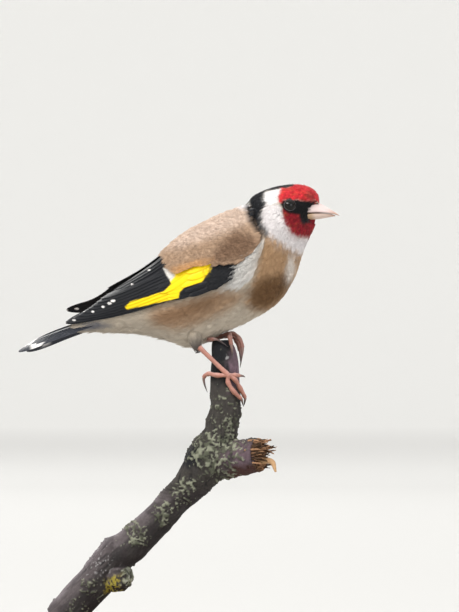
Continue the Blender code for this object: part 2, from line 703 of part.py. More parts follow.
def build_tail(room):
    length, width, height = TAIL_BLOCK
    slope = math.radians(TAIL_SLOPE_DEG)
    along = np.array((-math.cos(slope), 0.0, -math.sin(slope)))
    up = np.array((-math.sin(slope), 0.0, math.cos(slope)))
    root = np.array((TAIL_ROOT[0], 0.0, TAIL_ROOT[1])) - up * TAIL_BLOCK_DROP
    rings = []
    for q, grow in TAIL_BLOCK_ROWS:
        ring = []
        for k in range(TAIL_BLOCK_SIDES):
            angle = 2 * math.pi * k / TAIL_BLOCK_SIDES
            side = np.array((0.0, grow * width / 2 * math.cos(angle), 0.0))
            ring.append(root + along * length * q + side + up * grow * height / 2 * math.sin(angle))
        rings.append(ring)
    points, faces = skin(rings)
    tail = add_mesh("tail", points, faces, "tail_black")
    vanes = [tail_vane(i, side) for i in range(TAIL_PAIRS) for side in (-1, 1)]
    apply_boolean(tail, "UNION", pieces=vanes)
    apply_boolean(tail, "DIFFERENCE", room)


def perch_place(angle_deg, z, off):
    """A point off the bark of the perch's upright end. Angle 0 is +X and 90 is -Y."""
    rows = np.asarray(BRANCH[:8], float)[::-1]
    x = float(np.interp(z, rows[:, 1], rows[:, 0]))
    reach = float(np.interp(z, rows[:, 1], rows[:, 2])) + off
    a = math.radians(angle_deg)
    return np.array((x + reach * math.cos(a), -reach * math.sin(a), z))


def build_leg(word, room):
    """Feathered thigh, bare tarsus with its four toes, and the claws."""
    ankle, top = np.array(ANKLE[word]), np.array(THIGH_TOP[word])
    foot = perch_place(*FOOT[word])
    shin = unit(foot - ankle)
    knob = np.array(THIGH_END[word])
    bone = unit(knob - top)
    line = [top, mix(top, knob, 0.3), mix(top, knob, 0.66), knob - bone * 1.1]
    radii = THIGH_RADII[word]
    points, faces = tube(line, radii, THIGH_SIDES, end=knob)
    thigh = add_mesh("thigh_" + word, points, faces, "thigh_grey")
    apply_boolean(thigh, "DIFFERENCE", room)
    space = GAP + SLACK / 2
    points, faces = tube(line, [r + space for r in radii], THIGH_SIDES, end=knob + bone * 0.4)
    thigh_room = add_mesh("thigh_room", points, faces, "thigh_grey", helper=True)
    stops = [ankle - shin * 1.0, ankle + shin * 0.8, mix(ankle, foot, 0.35), mix(ankle, foot, 0.7),
             foot + shin * 0.3]
    points, faces = tube(stops, TARSUS_RADII, TARSUS_SIDES)
    leg = add_mesh("leg_" + word, points, faces, "leg_pink")
    toes = [build_toe(word, toe, foot, places) for toe, places in TOES[word].items()]
    apply_boolean(leg, "UNION", pieces=toes)
    apply_boolean(leg, "DIFFERENCE", thigh_room)
    apply_boolean(leg, "DIFFERENCE", body_room())


def build_toe(word, toe, foot, places):
    """One toe as a helper tube, and its claw as an object of its own."""
    path = [(*foot, 0.0)] + [(*perch_place(*place), 0.0) for place in places]
    joint = len(path) - 3
    steps = [joint * k / TOE_STEPS for k in range(TOE_STEPS + 1)]
    flesh = [smooth_row(path, u)[:3] for u in steps]
    pads = [TOE_RADIUS * (1.0 + TOE_PADS * math.cos(2 * math.pi * u)) for u in steps]
    pads[-1] = TOE_RADIUS * 0.75
    points, faces = tube(flesh, pads, TOE_SIDES)
    flesh_part = add_mesh(f"toe_{word}_{toe}", points, faces, "leg_pink", helper=True)
    claw = [smooth_row(path, joint + 2 * k / CLAW_STEPS)[:3] for k in range(CLAW_STEPS + 1)]
    claw[0] = claw[0] + unit(claw[1] - claw[0]) * GAP
    radii = [CLAW_RADIUS * (1 - 0.65 * k / CLAW_STEPS) for k in range(CLAW_STEPS)]
    points, faces = tube(claw[:-1], radii, CLAW_SIDES, end=claw[-1])
    add_mesh(f"claw_{word}_{toe}", points, faces, "claw_horn")
    return flesh_part


def bark_radius(radius, angle, along, z):
    """Radius of the bark with its lumps, which fade out where the feet hold it."""
    lump = math.sin(3 * angle + 0.35 * along) * math.sin(0.55 * along + 2 * angle)
    lump += 0.6 * math.sin(5 * angle - 0.8 * along)
    return radius * (1 + BUMP / 6 * lump * (1.0 if z < BUMP_FREE_Z else 0.25))


def build_perch(room):
    """The upright end, the forked knot, the broken stub and the long slanting length below."""
    rings = []
    count = (len(BRANCH) - 1) * BRANCH_STEPS
    along_mm = 0.0
    line = [smooth_row(BRANCH, k / BRANCH_STEPS) for k in range(count + 1)]
    for k, (x, z, radius) in enumerate(line):
        ahead, behind = line[min(k + 1, count)], line[max(k - 1, 0)]
        along = unit((ahead[0] - behind[0], 0.0, ahead[1] - behind[1]))
        across = np.array((-along[2], 0.0, along[0]))
        if k:
            along_mm += math.hypot(x - line[k - 1][0], z - line[k - 1][1])
        ring = []
        for s in range(BRANCH_SIDES):
            a = 2 * math.pi * s / BRANCH_SIDES
            r = bark_radius(radius, a, along_mm, z)
            ray = math.cos(a) * across + np.array((0.0, math.sin(a), 0.0))
            ring.append(np.array((x, 0.0, z)) + r * ray)
        rings.append(ring)
    points, faces = skin(rings)
    perch = add_mesh("perch", points, faces, "bark")
    pieces = []
    for x, y, z, r in KNOTS:
        pieces.append(ellipsoid("knot", (x, y, z), (r,) * 3, "bark", (0.4, 0.2, 0.9), KNOT_FACETS))
    pieces.append(perch_stub())
    points, faces = tube(SPLIT_STRIP, SPLIT_STRIP_RADII, 6)
    pieces.append(add_mesh("strip", points, faces, "bark", helper=True))
    apply_boolean(perch, "UNION", pieces=pieces)
    apply_boolean(perch, "DIFFERENCE", room)
    keep_side(perch, ((0.0, 0.0, BRANCH_CUT_Z), (0.0, 0.0, 1.0)), 1)


def perch_stub():
    """The side branch, snapped off into a ring of splinters."""
    axis = unit(np.array(STUB[-1][:3]) - np.array(STUB[0][:3]))
    side = unit(np.cross(axis, (0.0, 0.0, 1.0)))
    up = np.cross(side, axis)
    sides = SPLINTERS * 2
    rings = []
    for n, (x, y, z, radius) in enumerate(STUB):
        ring = []
        for s in range(sides):
            a = 2 * math.pi * s / sides
            r = bark_radius(radius, a, 4.0 * n + 9.0, z)
            ring.append(np.array((x, y, z)) + r * (math.cos(a) * side + math.sin(a) * up))
        rings.append(ring)
    draw = np.random.default_rng(SPLINTER_SEED)
    end = np.array(STUB[-1][:3])
    rim = rings[-1]
    for share, low, high in SPLINTER_RINGS:
        crown = []
        for s in range(sides):
            reach = draw.uniform(*(high if s % 2 else low))
            crown.append(end + (rim[s] - end) * share + axis * reach)
        rings.append(crown)
    points, faces = skin(rings)
    return add_mesh("stub", points, faces, "bark", helper=True)


def turned(name, profile, centre_x, material):
    """A solid of revolution about an upright axis, from (radius, height) pairs, bottom to top."""
    rings = []
    for radius, z in profile:
        angles = [2 * math.pi * k / ROUND_SIDES for k in range(ROUND_SIDES)]
        rings.append([(centre_x + radius * math.cos(a), radius * math.sin(a), z) for a in angles])
    points, faces = skin(rings)
    obj = add_mesh(name, points, faces, material)
    obj.data.set_sharp_from_angle(angle=math.radians(40))
    return obj


def build_stand():
    r, h, b = BASE_RADIUS, BASE_HEIGHT, BASE_BEVEL
    turned("stand_base", ((r - b / 2, 0.0), (r, b / 2), (r, h - b), (r - b / 2, h - b / 4), (r - b, h)),
           0.0, "stand_walnut")
    top = BRANCH_CUT_Z - GAP / 2
    turned("stand_rod", ((ROD_RADIUS, h + GAP), (ROD_RADIUS, top)), ROD_X, "stand_steel")


def main():
    clear_scene()
    build_body()
    for word in ("right", "left"):
        build_wing(word, body_room())
        build_leg(word, body_room())
    build_tail(body_room())
    build_perch(body_room())
    build_stand()


main()
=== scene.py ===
import math

import bpy
import numpy as np
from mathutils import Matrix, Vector, kdtree
from mathutils.geometry import delaunay_2d_cdt


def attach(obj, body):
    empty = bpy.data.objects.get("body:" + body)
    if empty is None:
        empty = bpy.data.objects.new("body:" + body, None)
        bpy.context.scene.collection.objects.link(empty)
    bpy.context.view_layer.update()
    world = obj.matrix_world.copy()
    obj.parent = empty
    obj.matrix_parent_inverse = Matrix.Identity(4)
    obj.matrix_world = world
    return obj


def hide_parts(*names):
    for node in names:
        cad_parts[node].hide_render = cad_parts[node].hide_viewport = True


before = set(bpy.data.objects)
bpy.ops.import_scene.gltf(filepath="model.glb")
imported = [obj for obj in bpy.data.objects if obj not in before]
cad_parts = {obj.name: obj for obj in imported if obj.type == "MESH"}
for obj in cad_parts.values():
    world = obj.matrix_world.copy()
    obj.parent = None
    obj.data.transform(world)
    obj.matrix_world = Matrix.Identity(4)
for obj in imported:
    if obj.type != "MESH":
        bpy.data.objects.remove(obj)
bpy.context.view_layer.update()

# The look of a life-size European goldfinch on its broken, lichened branch and display stand.
# The bird faces +X, its left is +Y and +Z is up. Sizes are in millimetres, and MM turns them
# into metres. The tables of the body, wings, legs and perch say the same as the solid part's.

MM = 0.001
FULL_TURN = 2 * math.pi

BODY_RIBS = (  # top x, z, bottom x, z, half width a quarter, half and three quarters down
    (-35.4, 122.1, -32.5, 117.3, 4.4, 4.6, 4.0),
    (-27.4, 126.4, -23.8, 117.2, 5.8, 6.4, 5.8),
    (-18.0, 131.4, -13.7, 116.6, 8.2, 9.2, 8.8),
    (-10.1, 137.2, -3.6, 114.4, 10.0, 11.4, 11.2),
    (-0.7, 146.0, 5.2, 112.1, 11.4, 13.0, 12.8),
    (7.9, 153.2, 15.9, 117.0, 12.0, 13.6, 13.2),
    (16.6, 158.2, 26.3, 121.6, 11.8, 13.6, 13.2),
    (22.4, 160.9, 35.9, 127.7, 10.8, 13.0, 12.6),
    (25.3, 162.9, 42.0, 136.5, 9.5, 12.0, 11.0),
    (26.0, 163.9, 44.6, 144.2, 8.4, 10.7, 9.8),
    (26.7, 164.8, 46.3, 148.7, 7.8, 9.5, 9.0),
    (28.9, 166.2, 47.7, 151.6, 7.6, 8.9, 8.2),
    (33.2, 167.9, 48.4, 153.0, 7.6, 8.3, 6.9),
    (38.2, 169.0, 49.2, 154.8, 6.9, 6.8, 5.2),
    (43.4, 169.2, 50.0, 156.4, 5.7, 4.9, 4.0),
    (47.5, 168.1, 50.5, 157.7, 4.3, 3.7, 3.2),
    (50.0, 166.2, 51.0, 158.9, 2.7, 2.5, 2.2),
)
LAST_RIB = len(BODY_RIBS) - 1
NECK_RIB, HEAD_RIB = 8.0, 11.0
HEAD_TURN_DEG = -6.0
HEAD_PIVOT_X = 33.0
SKIN_RIB_STEPS, SKIN_SIDES = 10, 120
# How the coat changes from the tail to the bill: rib, spacing of the feathers, their length and
# half width, and how deep the coat is.
COAT_RIBS = (
    (0.0, 1.00, 6.8, 1.00, 0.7),
    (3.0, 0.92, 6.6, 1.00, 0.9),
    (6.0, 0.84, 5.8, 0.95, 0.9),
    (8.5, 0.70, 4.6, 0.82, 0.8),
    (10.0, 0.56, 3.2, 0.66, 0.6),
    (11.5, 0.43, 2.1, 0.46, 0.45),
    (13.0, 0.38, 1.6, 0.38, 0.4),
    (16.0, 0.35, 1.1, 0.32, 0.35),
)
SPACING, LENGTH, HALF_WIDTH, DEPTH = 1, 2, 3, 4  # the columns of that table
SKIN_SHADE = 0.72
THIGH_STEPS, THIGH_SIDES = 24, 32
COAT_MOST = 180000  # triangles in one piece of the coat
VANE_CUP, VANE_FLECK = 0.16, 0.16  # how far a small feather cups, and how its tone varies
BAKE_PATCH = 0.003  # the size of a feather's patch in the bake map

EYE_RIB, EYE_DOWN = 12.42, 0.448
EYE_RADIUS = 2.35
EYE_DEPTH = 1.45
PUPIL_RADIUS = 1.05
LID_WIDE, LID_HIGH, LID_TUBE = 2.06, 1.92, 0.13
FACE_CLEAR = 2.60  # no feather grows nearer than this to the middle of an eye
EYEBALL_ROWS, EYEBALL_SIDES = 40, 64
LID_STEPS, LID_SIDES, LID_BEADS = 72, 12, 18
PUPIL_TONE, IRIS_TONE, LID_TONE = (0.001, 0.001, 0.001), (0.006, 0.0035, 0.002), (0.075, 0.072, 0.076)

UPPER_MANDIBLE = (  # x, top z, bottom z, half width
    (43.6, 164.6, 159.3, 3.7),
    (46.8, 164.2, 159.1, 3.4),
    (49.4, 163.2, 159.2, 2.8),
    (52.0, 161.9, 159.15, 2.0),
    (54.6, 160.4, 158.9, 1.2),
    (56.6, 159.2, 158.5, 0.5),
)
LOWER_MANDIBLE = (
    (43.6, 159.22, 156.3, 3.6),
    (46.8, 159.02, 156.6, 3.2),
    (49.4, 159.12, 156.9, 2.5),
    (52.0, 159.07, 157.3, 1.7),
    (54.6, 158.82, 157.8, 0.9),
)
UPPER_TIP, LOWER_TIP = (57.6, 158.3), (56.2, 158.2)
BILL_STEPS, BILL_SIDES = 40, 48
BILL_BARE_X = 44.9  # the bill is bare ahead of this
BILL_BARE_GROWS = (45.5, 49.5)  # and the face draws back from it more and more along here
BILL_TIP_RADIUS = 0.12
NOSTRIL = (47.2, 161.9, 0.55)  # x, z and size of the pit
BILL_TONES = {
    "upper": (0.76, 0.61, 0.59),
    "lower": (0.62, 0.47, 0.40),
    "tip": (0.46, 0.25, 0.16),
    # Painted shade along the line where the two halves meet.
    "edge": (0.22, 0.13, 0.09),
    "slit": (0.13, 0.09, 0.08),
    # A painted highlight along the top.
    "ridge": (0.84, 0.72, 0.70),
    "ochre": (0.40, 0.25, 0.12),
    "base": (0.20, 0.17, 0.16),
    "nostril": (0.03, 0.02, 0.02),
}

WING_RAFTERS = (  # lower edge x, z, ridge x, z, half width
    (27.8, 142.1, 24.5, 160.4, 12.4),
    (19.7, 134.4, 13.0, 156.0, 14.2),
    (10.1, 130.3, 1.4, 149.4, 14.5),
    (0.1, 128.0, -7.2, 141.4, 13.4),
    (-10.7, 125.9, -17.3, 134.2, 10.8),
    (-20.6, 124.0, -25.3, 129.6, 8.0),
    (-29.7, 122.8, -32.5, 125.6, 5.6),
    (-39.3, 120.4, -39.7, 121.8, 3.2),
)
WING_LIFT = {"right": 0.0, "left": 4.4}
WING_REACH = {"right": 0.4, "left": 2.0}
SIDE_OF = {"right": -1, "left": 1}
VANE_THICK = 0.12
# Feather tiers: count, then the first and last feather's root and tip (rafter, share of the way
# up the roof), half width, height over the roof at root and tip, tilt, length of the white tip.
WING_TIERS = {
    "primaries": (9, (2.0, 0.08), (2.6, 0.42), (7.0, 0.12), (4.9, 0.70), 2.3, 0.2, 0.5, 0.30, 0.5),
    "secondaries": (6, (2.2, 0.40), (2.0, 0.68), (4.75, 0.54), (4.45, 0.93), 2.9, 0.7, 0.9, 0.30, 0),
    "tertials": (3, (1.9, 0.70), (1.6, 0.88), (4.9, 0.90), (3.35, 0.98), 3.8, 1.0, 1.1, 0.30, 0.6),
    "primary_coverts": (6, (1.3, 0.05), (1.3, 0.26), (2.95, 0.05), (2.75, 0.26), 1.4, 0.8, 0.75, 0.15, 0),
    "greater_coverts": (9, (1.25, 0.28), (1.4, 0.76), (3.1, 0.18), (2.75, 0.80), 1.8, 1.1, 1.0, 0.20, 0),
    "median_coverts": (7, (0.8, 0.18), (0.9, 0.62), (2.0, 0.20), (1.9, 0.62), 1.7, 1.5, 1.35, 0.20, 0),
    "alula": (3, (0.8, 0.03), (0.9, 0.14), (2.2, 0.02), (2.3, 0.14), 1.2, 1.2, 1.1, 0.15, 0),
}
# Neighbours in a tier lie this far over one another, the flight feathers and the coverts.
TIER_RISE, COVERT_RISE = 0.12, 0.05
WING_DOTS = (  # white feather tips: across, up, half length, half height
    (-10.2, 139.3, 0.55, 0.30), (-16.1, 134.3, 0.45, 0.30), (-22.8, 128.5, 0.8, 0.45),
    (-24.0, 127.6, 0.7, 0.4), (-26.3, 126.4, 0.55, 0.35), (-29.9, 124.7, 0.5, 0.30),
    (-36.5, 121.8, 0.6, 0.30),
)
WING_ARM = (  # rafter, low and high share of the roof, thickness
    (0.25, 0.20, 0.56, 1.2),
    (0.7, 0.06, 0.72, 2.0),
    (1.3, 0.03, 0.80, 2.2),
    (2.1, 0.05, 0.86, 1.9),
    (3.0, 0.12, 0.86, 1.2),
)
ARM_STEPS, ARM_SIDES = 4, 24
VANE_ROWS_PER_MM, VANE_COLUMNS = 2.6, 13
# The strip between the wings: how far up the roof it starts, its height and its crown.
BACK_UP, BACK_HEIGHT, BACK_CROWN = 0.92, 0.6, 0.4
INNER_WING = 1.2  # a wing has no markings nearer to the bird's midline than this
VANE_STRIPS = 50  # side by side strips of the wing's bake map, one for each long feather

TAIL_PAIRS = 6
TAIL_ROOT = (-31.5, 121.9)
TAIL_SLOPE_DEG = 19.5
TAIL_CENTRE_LENGTH, TAIL_OUTER_LENGTH = 22.0, 27.3
TAIL_VANE_HALF_WIDTH = 2.9
TAIL_SPREAD, TAIL_DROP = 0.62, 0.42

BRANCH = (  # x, z, radius
    (15.9, 114.6, 3.5),
    (16.0, 112.9, 4.0),
    (16.8, 107.8, 4.9),
    (16.9, 101.5, 5.3),
    (17.0, 95.2, 5.6),
    (17.1, 90.5, 5.7),
    (16.2, 86.6, 5.8),
    (15.3, 82.6, 5.9),
    (14.1, 79.1, 6.8),
    (12.3, 75.6, 7.9),
    (10.1, 71.8, 8.0),
    (7.6, 67.9, 7.2),
    (4.0, 63.7, 6.2),
    (-0.6, 59.3, 5.8),
    (-8.5, 50.9, 5.8),
    (-17.6, 42.5, 6.4),
    (-23.2, 38.3, 6.9),
    (-30.0, 29.9, 6.9),
    (-37.8, 21.6, 6.6),
    (-43.0, 16.0, 6.5),
)
KNOTS = ((5.8, -1.5, 73.2, 3.2), (-21.5, -1.5, 31.6, 5.6), (-25.0, 2.5, 41.0, 4.6))
STUB = ((10.0, 1.0, 71.8, 6.9), (18.0, -1.0, 73.0, 6.6), (24.9, -3.0, 73.9, 6.2), (30.2, -4.8, 74.6, 5.9))
STRIP = ((31.0, -5.2, 72.6), (35.4, -6.8, 72.4), (37.0, -7.2, 68.9))
BRANCH_CUT_Z = 17.5
BARK_GRID = 0.32
# Round patches of the bark as they show from the camera's direction: across, up, radius, strength.
LICHEN_SPOTS = (
    (11.5, 75.0, 7.5, 0.75), (16.5, 79.5, 6.5, 0.65), (16.0, 69.5, 5.0, 0.6), (19.5, 74.5, 4.0, 0.5),
    (16.5, 90.5, 7.0, 0.42), (-5.0, 54.0, 4.2, 0.75), (-14.5, 47.0, 4.5, 0.7), (-16.8, 32.5, 3.4, 0.8),
    (2.0, 62.0, 5.0, 0.6), (-30.0, 28.0, 4.0, 0.55), (-36.0, 21.0, 3.5, 0.5),
)
FLAKE_SPOTS = ((-27.8, 37.8, 6.0, 0.9), (-16.0, 31.6, 4.0, 0.6), (17.2, 108.6, 1.4, 0.9))
PURPLE_SPOTS = (
    (21.0, 105.0, 4.0, 1.0), (20.8, 109.5, 2.8, 0.9), (21.0, 99.5, 2.8, 0.7), (22.0, 74.0, 6.0, 0.6),
)
DARK_SPOTS = (
    (14.2, 110.0, 4.4, 1.0), (14.4, 103.5, 3.6, 0.95), (16.0, 114.6, 4.0, 1.0), (5.0, 73.6, 4.0, 1.0),
)
ORANGE_SPOTS = ((-22.6, 29.6, 3.4, 1.0),)
BARK_TONES = {
    "rough": (0.046, 0.041, 0.037),
    "smooth": (0.105, 0.088, 0.092),
    "sunlit": (0.24, 0.21, 0.23),
    # Painted shade for the lower length's downward side.
    "underside": (0.026, 0.024, 0.022),
    "purple": (0.17, 0.11, 0.14),
    "groove": (0.020, 0.019, 0.020),
    "crack": (0.030, 0.024, 0.026),
    "dark": (0.010, 0.011, 0.014),
    "rust": (0.07, 0.03, 0.022),
    "lichen": (0.085, 0.09, 0.062),
    "pale lichen": (0.25, 0.26, 0.19),
    "flake": (0.45, 0.44, 0.44),
    "orange lichen": (0.40, 0.33, 0.05),
    "broken": (0.09, 0.045, 0.025),
}
KNOT_PROFILE = ((-0.9, 0.45), (-0.5, 0.87), (0.0, 1.0), (0.5, 0.87), (0.9, 0.45))  # height, radius
SPLINTERS, SPLINTER_SIDES = 105, 6
SPLINTER_TONE, STRIP_TONE = (0.30, 0.165, 0.09), (0.52, 0.32, 0.17)

ANKLE = {"right": (10.3, -7.5, 111.6), "left": (1.8, 7.6, 113.2)}
THIGH_TOP = {"right": (6.6, -6.0, 119.8), "left": (-1.0, 6.6, 120.6)}
THIGH_END = {"right": (9.0, -7.4, 110.7), "left": (1.6, 7.6, 112.6)}
THIGH_SLIM = 1.3  # the feathered thigh looks this much slimmer than the solid one
THIGH_RADII = {"right": (2.8, 3.3, 3.0, 2.2), "left": (2.4, 2.8, 2.4, 1.8)}
TARSUS_RADII = (1.00, 0.87, 0.79, 0.83, 0.98)
TOE_RADIUS = 0.80
CLAW_RADIUS, CLAW_SIDES = 0.52, 18
GAP = 0.3
FOOT = {"right": (66, 102.5, 1.5), "left": (221, 115.2, 1.8)}
TOES = {  # angle round the perch, z, distance off the bark; the last two places are the claw
    "right": {
        "hind": (
            (100, 102.5, 1.2), (137, 103.0, 1.2), (157, 101.8, 2.1), (160, 99.4, 1.8), (153, 96.4, 0.8),
        ),
        "inner": ((42, 102.5, 1.2), (26, 102.4, 1.3), (10, 102.2, 1.7), (0, 101.8, 2.1)),
        "middle": ((66, 99.9, 1.3), (50, 96.9, 1.25), (26, 94.5, 1.35), (12, 93.2, 1.0), (-2, 91.8, 0.7)),
        "outer": ((44, 100.9, 1.4), (24, 97.8, 1.3), (4, 94.8, 1.6), (-6, 93.4, 1.3), (-22, 91.4, 0.7)),
    },
    "left": {
        "hind": ((183, 114.9, 1.7), (136, 115.0, 1.5), (112, 115.1, 1.4), (88, 114.6, 1.2), (53, 112.4, 1.0)),
        "inner": ((-20, 116.9, -1.2), (37, 115.7, 0.9), (40, 113.2, 1.4), (41, 110.6, 1.1), (48, 108.2, 0.8)),
        "middle": ((-38, 117.0, 0.0), (-8, 115.4, 2.4), (0, 112.2, 3.0), (4, 108.6, 1.6), (8, 105.0, 0.7)),
        "outer": (
            (-68, 116.2, 1.3), (-42, 114.4, 2.2), (-30, 111.2, 1.8), (-26, 109.2, 1.2), (-22, 106.4, 0.7),
        ),
    },
}

BASE_RADIUS, BASE_HEIGHT, BASE_BEVEL = 52.0, 8.0, 1.2
ROD_RADIUS = 2.5
ROD_X = -41.8
TURNED_SIDES = 160
WALNUT_GRAIN = (14.0, 160.0, 160.0)
WALNUT_STOPS = ((0.35, (0.045, 0.018, 0.008, 1.0)), (0.68, (0.15, 0.070, 0.032, 1.0)))
# The rod's collar on the base: how far out from the rod and up from the base.
COLLAR = ((1.3, 0.05), (1.7, 0.3), (1.7, 1.2), (1.3, 1.6), (0.4, 1.9), (0.0, 2.4))

# The camera looks from the bird's right and a little from the front, level, from far away.
VIEW_TURN_DEG = 14.0
VIEW_CENTRE = (18.58, 0.0, 126.7)
VIEW_DISTANCE = 3000.0
PICTURE_HEIGHT = 214.2
SENSOR = 36.0
# The studio, in metres: a flat floor, a curve and a wall, and three lamps.
FLOOR_RADII = (0.001, 0.5, 1.0, 2.0, 3.0, 4.5, 6.0)
WALL_CURVE, WALL_TOP, STUDIO_SIDES = 3.0, 7.0, 96
# The floor is painted darker near the middle, as painted shade against the lamps' pool of light there, and
# lighter out to the wall.
FLOOR_TONE, WALL_TONE, TONE_RADII = 0.56, 0.90, (3.0, 6.0)
PAPER_TINT = (1.0, 1.0, 0.985)
SKY_TONE, SKY_STRENGTH = (1.0, 0.99, 0.98, 1.0), 0.95
LAMP_AIM = (0.018, 0.0, 0.125)
LAMPS = (  # name, place, width and height, watts, colour
    ("key", (-1.35, -2.25, 3.15), (2.2, 1.1), 120.0, (1.0, 0.98, 0.95)),
    ("fill", (3.0, -2.7, 1.35), (2.7, 2.7), 45.0, (0.97, 0.98, 1.0)),
    ("rim", (-1.5, 2.7, 2.4), (1.8, 1.8), 54.0, (1.0, 0.99, 0.97)),
)

